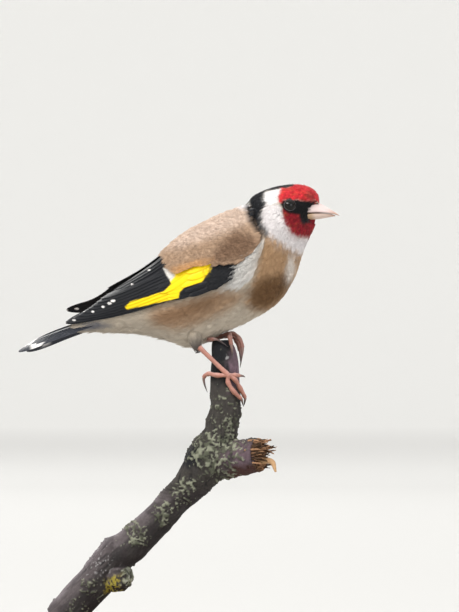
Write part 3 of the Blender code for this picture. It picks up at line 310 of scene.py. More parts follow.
# Outlines of the markings, as they show on the right side from the camera's direction: across
# from the origin, and up. The left side has the same ones mirrored.
OUTLINES = {
    "back_brown": (
        (25.2, 163.8), (27.3, 158.9), (29.4, 152.6), (29.7, 149.8), (26.9, 146.3), (23.1, 142.8),
        (18.9, 141.4), (11.9, 141.4), (6.3, 139.3), (-2.1, 136.1), (-9.8, 133.7), (-27.3, 124.6),
        (-40.6, 119.7), (-44.8, 128.8), (-20.3, 149.8), (0.7, 162), (16.4, 169), (22.8, 168),
    ),
    # Painted shade: the low front of the mantle by the wing, the same brown painted darker.
    "back_shade": (
        (29.4, 149.8), (25.2, 151.2), (21, 152.6), (16.4, 149.1), (12.6, 144.2), (12.6, 141.8),
        (18.9, 142.1), (24.5, 144.2),
    ),
    # A painted highlight: the top of the mantle, the same brown painted lighter.
    "back_highlight": (
        (21.7, 162), (12.9, 158.5), (2.4, 152.2), (-2.8, 146.3), (2.4, 147), (12.9, 150.5),
        (21.7, 154), (25.9, 156.1),
    ),
    "back_orange": (
        (12.2, 142.1), (9.4, 142.8), (4.2, 141.4), (-2.1, 139.3), (-0.7, 137.2), (6.3, 138.9),
    ),
    "breast_tan": (
        (30.1, 150.3), (31.4, 153.0), (37.0, 150.5), (46.5, 147.5), (46.5, 143.0), (44.2, 142.0),
        (42, 138.6), (40.2, 134.4), (36.4, 128.8), (31.5, 124.9), (27.3, 124.6), (23.8, 127.7),
        (24.4, 129.3), (27.4, 138.1), (28.3, 143.3),
    ),
    # The breast's lower front: partly a darker tan, partly painted shade.
    "breast_dark_and_shade": (
        (29.4, 136.5), (39.2, 138.6), (39.9, 133.7), (36.4, 129.2), (31.5, 125.6), (25.9, 126.3),
        (24.5, 130.9),
    ),
    "breast_white": (
        (38.8, 144.2), (40.6, 143.8), (41.3, 140.7), (40.2, 135.8), (38.8, 134.8), (37.8, 138.6),
    ),
    "side_white": (
        (29.4, 149.4), (28.3, 145.6), (27.0, 141.4), (25.6, 137.5), (23.4, 135.4), (20.3, 134.0),
        (15.4, 132.0), (15.4, 133.5), (20.3, 136.1), (21, 139.0), (21.7, 142.1), (25.2, 145.6),
    ),
    "flank_tan": (
        (18.9, 131.9), (23.1, 131.2), (21.7, 127.7), (14, 123.2), (6.3, 119.7), (-0.7, 117.9),
        (-7.7, 119.3), (-10.5, 122.5), (-9.8, 126), (0.7, 128.4), (12.9, 131.6),
    ),
    "flank_dark": (
        (16.4, 130.9), (12.9, 127.4), (6.3, 123.9), (-0.7, 121.8), (-6.3, 121.1), (-7, 123.2),
        (0.7, 126), (9.4, 129.2),
    ),
    "undertail_grey": (
        (-30.1, 121.8), (-25.9, 120.7), (-23.1, 119.3), (-28.7, 118.3), (-32.9, 117.9), (-34.3, 119.3),
    ),
    "nape_white": (
        (25.5, 164.5), (22.8, 163.8), (22, 160.6), (24.5, 159.6), (25.9, 161),
    ),
    "collar_black": (
        (42, 172), (29.4, 172), (26.9, 168), (25.2, 164.8), (24.7, 159.6), (25.5, 156.1),
        (27.6, 153.3), (31.1, 151.2), (31.8, 152.2), (30.4, 154), (29.2, 156.8), (29, 159.2),
        (29.7, 161.3), (31, 162.8), (29.9, 164.5), (30.4, 166.6), (32.9, 167.6), (36, 167.8),
        (39.2, 168.2), (42, 168.3),
    ),
    # White feathers, painted brighter than the cheek as a painted highlight.
    "temple_white_highlight": (
        (30.3, 166.4), (32.9, 167.6), (36, 167.7), (35.5, 165.5), (34.8, 164.1), (35.3, 162.4),
        (32.2, 162.2), (31, 162.8), (29.9, 164.5),
    ),
    "cheek_white": (
        (31, 162.8), (32.9, 162.2), (35.3, 161.9), (36.4, 160.3), (36.6, 158.5), (37.8, 155.4),
        (38.8, 152.9), (40.6, 151.2), (43.8, 150.3), (48.0, 150.1), (47.0, 144.5), (41.9, 145.2),
        (36.2, 148.2), (31.4, 151.8), (30.4, 154), (29.2, 156.8), (29, 159.2), (29.7, 161.3),
    ),
    "forehead_red": (
        (36.1, 168.1), (38.8, 168.1), (40.3, 168.8), (41.5, 172), (47, 172), (54, 166),
        (54, 163.8), (46.9, 164), (45.1, 163.1), (41.9, 163.7), (38.9, 164.2), (36.8, 163.6),
        (36.0, 162.4), (35.1, 162.8), (35.2, 164.8), (35.5, 166.3),
    ),
    "forehead_dusk": (
        (45.1, 167.3), (47.2, 165.9), (47.9, 163.4), (45.8, 163.3), (44.8, 165.2),
    ),
    "lore_black": (
        (35.6, 162.2), (36.7, 163.5), (38.9, 164.2), (41.9, 163.6), (45.1, 163.2), (46.9, 163.6),
        (51.0, 163.4), (51.0, 156.4), (44.0, 156.4), (42.6, 157.4), (42.8, 158.5), (41.3, 158.6),
        (38.2, 159.4), (36.5, 160.6),
    ),
    "chin_black": (
        (42.3, 159.9), (44.1, 158.5), (45.5, 157.1), (52, 157), (52, 155.4), (45.5, 155.4),
        (43.8, 155.2), (42.7, 157.1),
    ),
    "mask_crimson": (
        (36.4, 160.9), (38.5, 160.3), (41.3, 159.7), (43.5, 159.2), (52.5, 158.6), (51.5, 153.0),
        (46.2, 149.8), (43.8, 150.7), (40.9, 151.2), (39, 152.9), (37.8, 155.4), (36.8, 157.8),
    ),
    "wing_yellow": (
        (12.1, 142.4), (11.5, 139.6), (9.8, 137.2), (8.4, 135.1), (4.9, 134), (2.1, 133),
        (0.7, 131.6), (0.2, 129.5), (-9.8, 127.2), (-17.8, 125.5), (-18.5, 126.3), (-16.8, 128.1),
        (-9.8, 130.2), (-4.9, 131.9), (-2.4, 134.4), (-2.8, 136.5), (-1.8, 138.9), (3.8, 139.8),
        (7.7, 140.9),
    ),
    "wing_white": (
        (-5.2, 140), (-2.1, 139.3), (-1, 137.2), (-2.4, 135.4), (-3.8, 137.2),
    ),
    "under_wing": (
        (25.9, 156.1), (15.4, 156.8), (4.2, 149.8), (-9.8, 142.1), (-23.8, 134), (-30.8, 127.7),
        (-25.5, 126.7), (-9.8, 128.8), (5.9, 131.6), (17.5, 135.8), (21, 140), (25.2, 145.6),
    ),
    "mantle_roots": (
        (25.0, 164.0), (25.2, 160.0), (26.3, 156.5), (28.5, 153.5), (29.5, 151.5), (29.3, 149.5),
        (27.0, 146.5), (23.5, 144.4), (19.0, 143.2), (13.0, 143.0), (8.5, 142.2),
        (4.0, 140.6), (1.5, 140.4), (0.0, 142.0), (-1.2, 145.0), (-3.0, 149.0), (3.0, 156.0),
        (10.0, 161.0), (20.0, 167.0), (24.5, 168.0),
    ),
    "side_wisps": (
        (30.5, 151.0), (28.8, 144.0), (27.4, 139.0), (24.2, 135.6), (20.5, 134.6), (22.8, 138.0),
        (24.5, 143.0), (27.3, 148.0),
    ),
}
# Plumage colours as linear RGB.
BELLY = (0.54, 0.47, 0.38)
BROWN = (0.40, 0.27, 0.18)
RED = (0.62, 0.030, 0.040)
CRIMSON = (0.25, 0.010, 0.019)
BLACK = (0.012, 0.013, 0.016)
WHITE = (0.76, 0.72, 0.72)
THIGH_TINT = (0.10, 0.085, 0.08)
LEG_TONE = (0.42, 0.185, 0.14)
# Painted shade for the lower sides of the legs and toes.
LEG_UNDER_SHADE = (0.26, 0.115, 0.07)
# A painted highlight for their upper sides.
LEG_TOP_HIGHLIGHT = (0.60, 0.36, 0.32)
LEG_SEAM = (0.36, 0.15, 0.10)
LEG_SHADE = {"right": 1.0, "left": 0.62}  # the left leg stands in the bird's own shade
CLAW_ROOT, CLAW_TIP = (0.22, 0.13, 0.11), (0.05, 0.035, 0.035)
# The markings from the lowest to the topmost: outline, colour, width of its soft edge.
BODY_MARKS = (
    ("back_brown", BROWN, 2.5),
    # A painted highlight on the mantle's top.
    ("back_highlight", (0.62, 0.48, 0.39), 5.0),
    # Painted shade low on the mantle's front.
    ("back_shade", (0.20, 0.12, 0.075), 4.0),
    ("back_orange", (0.55, 0.29, 0.12), 3.0),
    ("breast_tan", (0.43, 0.27, 0.15), 2.4),
    # Partly a darker tan, partly painted shade on the breast's lower front.
    ("breast_dark_and_shade", (0.15, 0.080, 0.036), 4.5),
    ("breast_white", (0.70, 0.64, 0.58), 2.0),
    ("side_white", (0.72, 0.69, 0.66), 1.6),
    ("flank_tan", (0.38, 0.25, 0.155), 5.0),
    ("flank_dark", (0.27, 0.16, 0.09), 4.0),
    ("undertail_grey", (0.18, 0.18, 0.20), 1.6),
    ("nape_white", (0.72, 0.70, 0.66), 1.2),
    ("cheek_white", WHITE, 1.0),
    # White, painted brighter than the cheek as a painted highlight.
    ("temple_white_highlight", (0.88, 0.87, 0.87), 0.6),
    ("collar_black", BLACK, 0.7),
    ("mask_crimson", CRIMSON, 0.6),
    ("chin_black", BLACK, 0.6),
    ("lore_black", (0.006, 0.006, 0.007), 0.5),
    ("forehead_red", RED, 0.6),
    ("forehead_dusk", (0.44, 0.045, 0.045), 1.6),
)
BACK_MARKS = BODY_MARKS[1:4] + (("nape_white", WHITE, 1.2),)
MANTLE_MARKS = BACK_MARKS + (("collar_black", BLACK, 0.7),)
WISP_TONE = (0.70, 0.68, 0.65)
WISP_MARKS = (("breast_tan", (0.50, 0.36, 0.24), 3.0),)
WING_MARKS = (
    ("wing_yellow", (0.93, 0.66, 0.006), 0.35),
    ("wing_white", (0.72, 0.70, 0.66), 0.8),
)
WING_BLACK = (0.007, 0.008, 0.011)
WING_EDGE = (0.018, 0.019, 0.023)
WHITE_TIP = (0.78, 0.76, 0.74)
TAIL_BLACK, TAIL_EDGE = (0.018, 0.021, 0.030), (0.05, 0.055, 0.07)


def unit(v):
    v = np.asarray(v, float)
    return v / np.maximum(np.linalg.norm(v, axis=-1, keepdims=True), 1e-12)


def smooth(share):
    share = np.clip(share, 0.0, 1.0)
    return share * share * (3 - 2 * share)


def spline(rows, u):
    """The table's rows at the fractional indices u, on Catmull-Rom curves through the rows."""
    table = np.asarray(rows, float)
    last = len(table) - 1
    u = np.asarray(u, float)
    i = np.clip(np.floor(u).astype(int), 0, last - 1)
    t = (u - i)[..., None]
    before = np.where((i > 0)[..., None], table[np.maximum(i - 1, 0)], 2 * table[0] - table[1])
    after = np.where((i + 2 <= last)[..., None], table[np.minimum(i + 2, last)], 2 * table[-1] - table[-2])
    a, b = table[i], table[i + 1]
    return 0.5 * (
        2 * a + (b - before) * t + (2 * before - 5 * a + 4 * b - after) * t**2
        + (3 * a - before - 3 * b + after) * t**3
    )


def grain(points, size, seed):
    """Smooth noise from 0 to 1 with lumps of that size in millimetres."""
    scaled = np.asarray(points, float) / size
    cell = np.floor(scaled).astype(np.int64)
    f = smooth(scaled - cell)
    total = np.zeros(len(cell))
    for corner in np.ndindex(2, 2, 2):
        c = cell + corner
        mixed = (c[:, 0] * 73856093) ^ (c[:, 1] * 19349663) ^ (c[:, 2] * 83492791) ^ (seed * 2654435761)
        mixed = ((mixed & 0x7FFFFFFF) * 1103515245 + 12345) & 0x7FFFFFFF
        value = ((mixed >> 8) & 0xFFFF) / 65535.0
        weight = np.prod(np.where(np.array(corner) == 1, f, 1 - f), axis=1)
        total += value * weight
    return total


def turn_head(points, u):
    """Swings the ribs of the neck and head about an upright axis."""
    angle = math.radians(HEAD_TURN_DEG) * smooth((np.asarray(u, float) - NECK_RIB) / (HEAD_RIB - NECK_RIB))
    dx, y = points[..., 0] - HEAD_PIVOT_X, points[..., 1]
    return np.stack((
        HEAD_PIVOT_X + dx * np.cos(angle) + y * np.sin(angle),
        -dx * np.sin(angle) + y * np.cos(angle),
        points[..., 2],
    ), axis=-1)


def body_at(u, angle, rise=0.0):
    """Points of the body at rib u and an angle round it: 0 is the back, a quarter the left side."""
    row = spline(BODY_RIBS, u)
    zero = np.zeros_like(row[..., 0])
    top = np.stack((row[..., 0], zero, row[..., 1]), axis=-1)
    low = np.stack((row[..., 2], zero, row[..., 3]), axis=-1)
    rib = unit(low - top)
    rise = np.asarray(rise, float)[..., None]
    top, low = top - rise * rib, low + rise * rib
    down = (1 - np.cos(angle)) / 2
    step = (down - 0.5) * 4
    upper, middle, lower = row[..., 4], row[..., 5], row[..., 6]
    width = middle + (lower - upper) / 2 * step + ((lower + upper) / 2 - middle) * step**2
    point = top + (low - top) * down[..., None]
    point[..., 1] = (width + rise[..., 0]) * np.sin(angle)
    return turn_head(point, u)


def roof_at(u, up, out, word):
    """Points of a folded wing's roof: rafter u, share of the way up, height over the roof."""
    row = spline(WING_RAFTERS, u)
    angle = np.asarray(up, float) * math.pi / 2
    rise_x, rise_z = row[..., 2] - row[..., 0], row[..., 3] - row[..., 1]
    height = np.hypot(rise_x, rise_z)
    half = row[..., 4]
    normal = unit(np.stack((
        np.sin(angle) * half * rise_x / height,
        np.cos(angle) * height,
        np.sin(angle) * half * rise_z / height,
    ), axis=-1))
    x = row[..., 0] + rise_x * np.sin(angle) + normal[..., 0] * out
    y = half * np.cos(angle) + normal[..., 1] * out
    z = row[..., 1] + rise_z * np.sin(angle) + normal[..., 2] * out
    share = (np.maximum(u, 0.0) / (len(WING_RAFTERS) - 1)) ** 2
    return np.stack((
        x - WING_REACH[word] * share,
        SIDE_OF[word] * np.maximum(y, 0.2),
        z + WING_LIFT[word] * share,
    ), axis=-1)


def thigh_at(t, angle, rise, word):
    """Points of a feathered thigh: share of the way down, angle round it, height over it."""
    top, end = np.array(THIGH_TOP[word]), np.array(THIGH_END[word])
    radius = spline([(r,) for r in THIGH_RADII[word]], np.clip(t, 0, 1.0) * 3)[..., 0]
    radius = radius * np.sqrt(np.clip(1 - (np.maximum(t, 0) / 1.05) ** 8, 0.02, 1)) + rise
    along = unit(end - top)
    side = unit(np.cross(along, (0.0, 1.0, 0.0)))
    front = np.cross(along, side)
    ray = np.cos(angle)[..., None] * side + np.sin(angle)[..., None] * front
    return top + (end - top) * t[..., None] + ray * radius[..., None]


def seen_at(points):
    """Where points show from the camera's direction: across and up."""
    turn = math.radians(VIEW_TURN_DEG)
    across = points[..., 0] * math.cos(turn) + points[..., 1] * math.sin(turn)
    return np.stack((across, points[..., 2]), axis=-1)


def body_seen(u, angle):
    """The marking's place for a point of the body, with the left side mirrored onto the right."""
    mirrored = np.where(np.sin(angle) > 0, FULL_TURN - angle, angle)
    return seen_at(body_at(u, mirrored))


def depth_inside(outline, places):
    """How far each place lies inside an outline. Places outside it are negative."""
    corners = np.asarray(outline, float)
    nearest = np.full(len(places), 1e9)
    odd = np.zeros(len(places), bool)
    for a, b in zip(corners, np.roll(corners, -1, axis=0)):
        edge = b - a
        t = np.clip(((places - a) @ edge) / (edge @ edge), 0, 1)
        nearest = np.minimum(nearest, np.linalg.norm(places - a - t[:, None] * edge, axis=1))
        crosses = (a[1] > places[:, 1]) != (b[1] > places[:, 1])
        rise = edge[1] if abs(edge[1]) > 1e-9 else 1e-9
        odd ^= crosses & (places[:, 0] < a[0] + (places[:, 1] - a[1]) * edge[0] / rise)
    return np.where(odd, nearest, -nearest)


def paint(places, base, marks, wander_mm=0.7):
    """The colour at each place, from the marks laid over one another with slightly ragged edges."""
    flat = places.reshape(-1, 2)
    solid = np.column_stack((flat, np.zeros(len(flat))))
    shift = np.column_stack((grain(solid, 1.3, 3), grain(solid, 1.3, 4))) - 0.5
    wander = flat + shift * wander_mm
    colour = np.tile(np.asarray(base, float), (len(flat), 1))
    for name, tint, soft in marks:
        share = smooth(0.5 + depth_inside(OUTLINES[name], wander) / soft)[:, None]
        colour = colour * (1 - share) + np.asarray(tint) * share
    return colour.reshape(*places.shape[:-1], 3)


def add_noise(tree, scales, detail, size=1.0):
    """A noise pattern in the object's own space. Gives the node."""
    where = tree.nodes.new("ShaderNodeTexCoord")
    sized = tree.nodes.new("ShaderNodeMapping")
    sized.inputs["Scale"].default_value = scales
    noise = tree.nodes.new("ShaderNodeTexNoise")
    noise.inputs["Scale"].default_value = size
    noise.inputs["Detail"].default_value = detail
    tree.links.new(where.outputs["Object"], sized.inputs["Vector"])
    tree.links.new(sized.outputs["Vector"], noise.inputs["Vector"])
    return noise


def material(name, roughness, grain_mm, bump_mm, specular=0.5, sheen=0.0, metallic=0.0, coat=0.0,
             colour=None, stretch=(1.0, 1.0, 1.0)):
    """A finish whose colour is one tone, or else the mesh's own tints. Its roughness and bump come
    from noise with grains of that size, which may be stretched."""
    made = bpy.data.materials.new(name)
    made.use_nodes = True
    tree = made.node_tree
    shader = tree.nodes["Principled BSDF"]
    shader.inputs["Specular IOR Level"].default_value = specular
    shader.inputs["Sheen Weight"].default_value = sheen
    shader.inputs["Metallic"].default_value = metallic
    shader.inputs["Coat Weight"].default_value = coat
    if colour is not None:
        shader.inputs["Base Color"].default_value = (*colour, 1.0)
    else:
        tints = tree.nodes.new("ShaderNodeAttribute")
        tints.attribute_name = "tint"
        tree.links.new(tints.outputs["Color"], shader.inputs["Base Color"])
    noise = add_noise(tree, tuple(s / (grain_mm * MM) for s in stretch), 3.0)
    spread = tree.nodes.new("ShaderNodeMapRange")
    spread.inputs["To Min"].default_value = roughness * 0.75
    spread.inputs["To Max"].default_value = min(roughness * 1.25, 1.0)
    relief = tree.nodes.new("ShaderNodeBump")
    relief.inputs["Strength"].default_value = 0.6
    relief.inputs["Distance"].default_value = bump_mm * MM
    tree.links.new(noise.outputs["Fac"], spread.inputs["Value"])
    tree.links.new(spread.outputs["Result"], shader.inputs["Roughness"])
    tree.links.new(noise.outputs["Fac"], relief.inputs["Height"])
    tree.links.new(relief.outputs["Normal"], shader.inputs["Normal"])
    return made


def add_piece(name, points, faces, finish, tints=None, patches=None, crease_deg=None):
    """A new mesh from points in millimetres, with a colour and a bake place for each point."""
    mesh = bpy.data.meshes.new(name)
    mesh.from_pydata((np.asarray(points, float) * MM).tolist(), [], [list(map(int, f)) for f in faces])
    mesh.materials.append(finish)
    mesh.shade_smooth()
    if crease_deg:
        mesh.set_sharp_from_angle(angle=math.radians(crease_deg))
    if tints is not None:
        layer = mesh.color_attributes.new("tint", "FLOAT_COLOR", "POINT")
        full = np.ones((len(points), 4), np.float32)
        full[:, :3] = np.clip(tints, 0, 1)
        layer.data.foreach_set("color", full.ravel())
    if patches is not None:
        loops = np.zeros(len(mesh.loops), np.int32)
        mesh.loops.foreach_get("vertex_index", loops)
        layer = mesh.uv_layers.new(name="OFBake")
        layer.data.foreach_set("uv", np.asarray(patches, np.float32)[loops].ravel())
    obj = bpy.data.objects.new(name, mesh)
    bpy.context.scene.collection.objects.link(obj)
    return obj


def place(obj, slot, *nodes):
    """Hangs a piece on the model, in place of the solid part's nodes."""
    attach(obj, "root")
    if nodes:
        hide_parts(*nodes)
    return obj


def grid_faces(rows, columns, wrap, first=0):
    """Quads between neighbouring rows of points."""
    r, c = np.meshgrid(np.arange(rows - 1), np.arange(columns if wrap else columns - 1), indexing="ij")
    a = first + r * columns + c
    b = first + r * columns + (c + 1) % columns
    return np.stack((a, b, b + columns, a + columns), axis=-1).reshape(-1, 4)


def round_angles(sides):
    return np.arange(sides) * FULL_TURN / sides


def closed(points, sides, ends=None):
    """Rings of points as one closed surface, with a point in the middle of each end."""
    if ends is None:
        ends = np.stack((points[:sides].mean(axis=0), points[-sides:].mean(axis=0)))
    start, last = len(points), len(points) - sides
    faces = grid_faces(len(points) // sides, sides, True).tolist()
    faces += [(start, (k + 1) % sides, k) for k in range(sides)]
    faces += [(start + 1, last + k, last + (k + 1) % sides) for k in range(sides)]
    return np.concatenate((points, ends)), faces


def with_ends(values):
    """A closed surface's values: the first and last ones also go to its two end points."""
    return np.concatenate((values, values[[0, -1]]))


def tube(line, radii, sides, bumps=None, blunt=1.0):
    """Points and faces of a closed tube along a line. bumps scales each ring's points."""
    line = np.asarray(line, float)
    radii = np.asarray(radii, float)
    along = unit(np.gradient(line, axis=0))
    side = unit(np.cross(along[0], (0.0, 0.0, 1.0) if abs(along[0][2]) < 0.9 else (0.0, 1.0, 0.0)))
    angles = round_angles(sides)
    rings = []
    for i, centre in enumerate(line):
        side = unit(side - along[i] * np.dot(side, along[i]))
        up = np.cross(along[i], side)
        scale = np.ones(sides) if bumps is None else bumps[i]
        ray = np.cos(angles)[:, None] * side + np.sin(angles)[:, None] * up
        rings.append(centre + ray * (radii[i] * scale)[:, None])
    caps = np.stack((line[0] - along[0] * radii[0] * 0.5 * blunt, line[-1] + along[-1] * radii[-1] * blunt))
    return closed(np.concatenate(rings), sides, caps)


def merge(parts):
    """Several (points, faces) pairs as one."""
    points, faces, first = [], [], 0
    for some_points, some_faces in parts:
        points.append(some_points)
        faces += [[v + first for v in face] for face in some_faces]
        first += len(some_points)
    return np.concatenate(points), faces


def blend_tone(tone, other, share):
    return tone + (np.asarray(other) - tone) * np.asarray(share)[..., None]


def layered(tone, layers):
    """A tone with others laid over it: each one's colour and its share at each place."""
    for other, share in layers:
        tone = blend_tone(tone, other, share)
    return tone


# The skin and the coat.

def coat_value(u, column):
    table = np.array(COAT_RIBS)
    return np.interp(u, table[:, 0], table[:, column])


def eye_place(side):
    """The middle of an eyeball and the direction in which it looks."""
    angle = math.acos(1 - 2 * EYE_DOWN)
    below_angle = math.acos(1 - 2 * (EYE_DOWN + 0.06))
    if side < 0:
        angle, below_angle = FULL_TURN - angle, FULL_TURN - below_angle
    here = body_at(np.array(EYE_RIB), np.array(angle))
    ahead = body_at(np.array(EYE_RIB + 0.2), np.array(angle))
    below = body_at(np.array(EYE_RIB), np.array(below_angle))
    out = unit(np.cross(ahead - here, below - here))
    if out[1] * side < 0:
        out = -out
    return here - out * EYE_DEPTH, out


def build_skin(finish):
    """One closed skin of the body and thighs, under the coat."""
    rows = LAST_RIB * SKIN_RIB_STEPS + 1
    u, angle = np.meshgrid(np.linspace(0, LAST_RIB, rows), round_angles(SKIN_SIDES), indexing="ij")
    parts = [closed(sunk_face(body_at(u, angle, -coat_value(u, DEPTH)).reshape(-1, 3)), SKIN_SIDES)]
    tints = [with_ends(paint(body_seen(u, angle).reshape(-1, 2), BELLY, BODY_MARKS)) * SKIN_SHADE]
    for word in SIDE_OF:
        t, turn = np.meshgrid(np.linspace(0, 1.03, THIGH_STEPS), round_angles(THIGH_SIDES), indexing="ij")
        parts.append(closed(thigh_at(t, turn, -0.5 - THIGH_SLIM, word).reshape(-1, 3), THIGH_SIDES))
        # Painted shade: the thighs' skin, darker still under their coat.
        tints.append(np.tile(THIGH_TINT, (len(parts[-1][0]), 1)) * 0.7)
    points, faces = merge(parts)
    skin = add_piece("skin", points, faces, finish, np.concatenate(tints))
    place(skin, "mantle_brown", "torso", "neck", "head", "thigh_right", "thigh_left")


def slopes(surface, u, v):
    """A surface's points, its slopes along u and v, and its outward normals."""
    step = 0.01
    here = surface(u, v, 0.0)
    su = (surface(u + step, v, 0.0) - here) / step
    sv = (surface(u, v + step, 0.0) - here) / step
    normal = unit(np.cross(su, sv))
    outward = surface(u, v, 0.5) - here
    flip = np.sum(normal * outward, axis=-1, keepdims=True) < 0
    return here, su, sv, np.where(flip, -normal, normal)


def throw_darts(surface, u_range, v_range, spacing, keep, seed, tries=90000):
    """Seeded places all over a surface, none nearer to another than the spacing there."""
    draw = np.random.default_rng(seed)
    u, v = draw.uniform(*u_range, tries), draw.uniform(*v_range, tries)
    points, su, sv, _ = slopes(surface, u, v)
    gap = spacing(u, v)
    weight = np.linalg.norm(np.cross(su, sv), axis=1) / gap**2
    wanted = draw.random(tries) * np.percentile(weight, 99) < weight
    wanted &= keep(u, v, points)
    u, v, points, gap = u[wanted], v[wanted], points[wanted], gap[wanted]
    tree = kdtree.KDTree(len(points))
    for i, point in enumerate(points):
        tree.insert(point, i)
    tree.balance()
    blocked = np.zeros(len(points), bool)
    chosen = []
    for i, point in enumerate(points):
        if blocked[i]:
            continue
        chosen.append(i)
        for _, j, _ in tree.find_range(point, gap[i]):
            blocked[j] = True
    return u[chosen], v[chosen]


def vane_template(prongs, notch, seed):
    """A feather with a frayed tip, in shares of its length and half width: closed, thin at the rim
    and thicker within, in each of its fingers too. Gives each point's place along, place across
    and height, and the triangles."""
    draw = np.random.default_rng(seed)
    tips = np.linspace(-0.92, 0.92, prongs)
    shoulder = notch * 0.72
    edge = [(0.0, 0.0), (shoulder * 0.45, -0.55), (shoulder, -0.98)]
    inner = [(shoulder * 0.62, 0.0)]
    for i, across in enumerate(tips):
        reach = 1.0 - 0.18 * across**2 - draw.uniform(0, 0.14)
        root = notch - 0.12 * across**2
        edge.append((reach, across * draw.uniform(0.80, 1.05)))
        inner.append((root + 0.3 * (reach - root), across * 0.93))
        if i < prongs - 1:
            between = (across + tips[i + 1]) / 2
            edge.append((notch - 0.12 * between**2 - draw.uniform(0, 0.08), between))
    edge += [(shoulder, 0.98), (shoulder * 0.45, 0.55)]
    flat = [Vector(p) for p in edge + inner]
    ring = [(i, (i + 1) % len(edge)) for i in range(len(edge))]
    places, _, faces, _, _, _ = delaunay_2d_cdt(flat, ring, [], 1, 1e-6)
    rim = len(edge)
    points = [(p[0], p[1], 0.5 if i >= rim else 0.0) for i, p in enumerate(places)]
    triangles = split_chords(points, [tuple(face) for face in faces], rim)
    under = [(x, y, -h) for x, y, h in points[rim:]]
    shift = len(points) - rim
    below = [tuple(v + shift if v >= rim else v for v in reversed(face)) for face in triangles]
    return np.array(points + under), np.array(triangles + below)


def split_chords(points, triangles, rim):
    """Adds an inner point on every inner edge that joins two points of the rim, so that the two
    faces of a feather meet only along its rim."""
    while True:
        owners = {}
        for n, (a, b, c) in enumerate(triangles):
            for edge in ((a, b), (b, c), (c, a)):
                owners.setdefault((min(edge), max(edge)), []).append(n)
        chord = next((edge for edge, own in owners.items() if max(edge) < rim and len(own) == 2), None)
        if chord is None:
            return triangles
        middle = len(points)
        start, end = points[chord[0]], points[chord[1]]
        points.append(((start[0] + end[0]) / 2, (start[1] + end[1]) / 2, 0.5))
        pieces = []
        for n in owners[chord]:
            a, b, c = triangles[n]
            while {a, b} != set(chord):
                a, b, c = b, c, a
            pieces += [(a, middle, c), (middle, b, c)]
        triangles = [face for n, face in enumerate(triangles) if n not in owners[chord]] + pieces


BODY_VANES = [vane_template(6, 0.48, seed) for seed in range(6)]
FACE_VANES = [vane_template(3, 0.58, seed) for seed in range(6)]
MANTLE_VANES = [vane_template(7, 0.66, seed) for seed in range(6)]


def lay_vanes(line, normals, half, thick, tints, spots, templates, seed):
    """Vanes along many short lines of three points. Gives points, faces, tints and bake places."""
    draw = np.random.default_rng(seed)
    kinds = draw.integers(0, len(templates), len(line))
    points, faces, colours, patches, first = [], [], [], [], 0
    for kind, (shape, triangles) in enumerate(templates):
        mine = kinds == kind
        if not mine.any():
            continue
        s, t, h = shape.T
        weights = np.stack(((1 - s) * (1 - 2 * s), 4 * s * (1 - s), s * (2 * s - 1)))
        rates = np.stack((4 * s - 3, 4 - 8 * s, 4 * s - 1))
        centre = np.einsum("kv,nkx->nvx", weights, line[mine])
        along = unit(np.einsum("kv,nkx->nvx", rates, line[mine]))
        normal = unit(np.einsum("kv,nkx->nvx", weights, normals[mine]))
        across = unit(np.cross(normal, along))
        wide = half[mine][:, None, None]
        lift = h[:, None] * thick[mine][:, None, None] - (t**2)[:, None] * VANE_CUP * wide
        points.append((centre + across * t[:, None] * wide + normal * lift).reshape(-1, 3))
        count, size = int(mine.sum()), len(shape)
        shift = first + np.arange(count)[:, None, None] * size
        faces.append((triangles[None] + shift).reshape(-1, 3))
        first += count * size
        early, late = np.clip(s / 0.6, 0, 1), np.clip((s - 0.6) / 0.4, 0, 1)
        share = np.stack((1 - early, early * (1 - late), late))
        tone = np.einsum("kv,nkx->nvx", share, tints[mine])
        tone = tone * (1 + VANE_FLECK * (draw.random((count, 1, 1)) - 0.5))
        tone = tone * (1 + VANE_FLECK * (draw.random((1, size, 1)) - 0.5))
        # Darker towards the root: partly the feathers' grey bases, partly painted shade where the feathers
        # overlap.
        tone = tone * (0.80 + 0.20 * np.clip(s / 0.7, 0, 1))[None, :, None]
        colours.append(tone.reshape(-1, 3))
        patch = np.stack(((s - 0.5) * BAKE_PATCH, t * BAKE_PATCH / 2), axis=-1)
        patches.append((spots[mine][:, None, :] + patch[None]).reshape(-1, 2))
    return np.concatenate(points), np.concatenate(faces), np.concatenate(colours), np.concatenate(patches)


def grow_coat(name, slot, finish, surface, u, v, way, length, half, root_rise, tip_rise, colour, spot,
              templates, seed, yaw=0.22, ruffle=0.045):
    """Feathers that follow a surface from the roots (u, v), laid the way that u grows or falls.
    colour gives the tints at (u, v), and spot their place on the unwrap."""
    draw = np.random.default_rng(seed)
    length = length * draw.uniform(0.85, 1.15, len(u))
    turn = draw.normal(0, yaw, len(u))
    line, normals, tints = [], [], []
    for k in range(3):
        here, su, sv, normal = slopes(surface, u, v)
        rise = root_rise + (tip_rise - root_rise) * (k / 2) ** 0.8
        if k == 2:
            rise = rise + draw.normal(0, 1, len(u)) * ruffle
        line.append(here + normal * np.asarray(rise)[..., None])
        normals.append(normal)
        tints.append(colour(u, v))
        if k < 2:
            if k == 0:
                spots = spot(u, v)
            u = u + way * np.cos(turn) * (length / 2) / np.maximum(np.linalg.norm(su, axis=1), 0.1)
            v = v + np.sin(turn) * (length / 2) / np.maximum(np.linalg.norm(sv, axis=1), 0.1)
    line, normals, tints = (np.stack(x, axis=1) for x in (line, normals, tints))
    thick = np.minimum(0.10, half * 0.14)
    chunks = max(1, math.ceil(len(line) * len(templates[0][1]) / COAT_MOST))
    order = np.argsort(spots[:, 0], kind="stable")
    for n, part in enumerate(np.array_split(order, chunks)):
        points, faces, tones, patches = lay_vanes(
            line[part], normals[part], half[part], thick[part], tints[part], spots[part], templates, seed + n
        )
        place(add_piece(f"{name}_{n + 1}", points, faces, finish, tones, patches, crease_deg=70), slot)


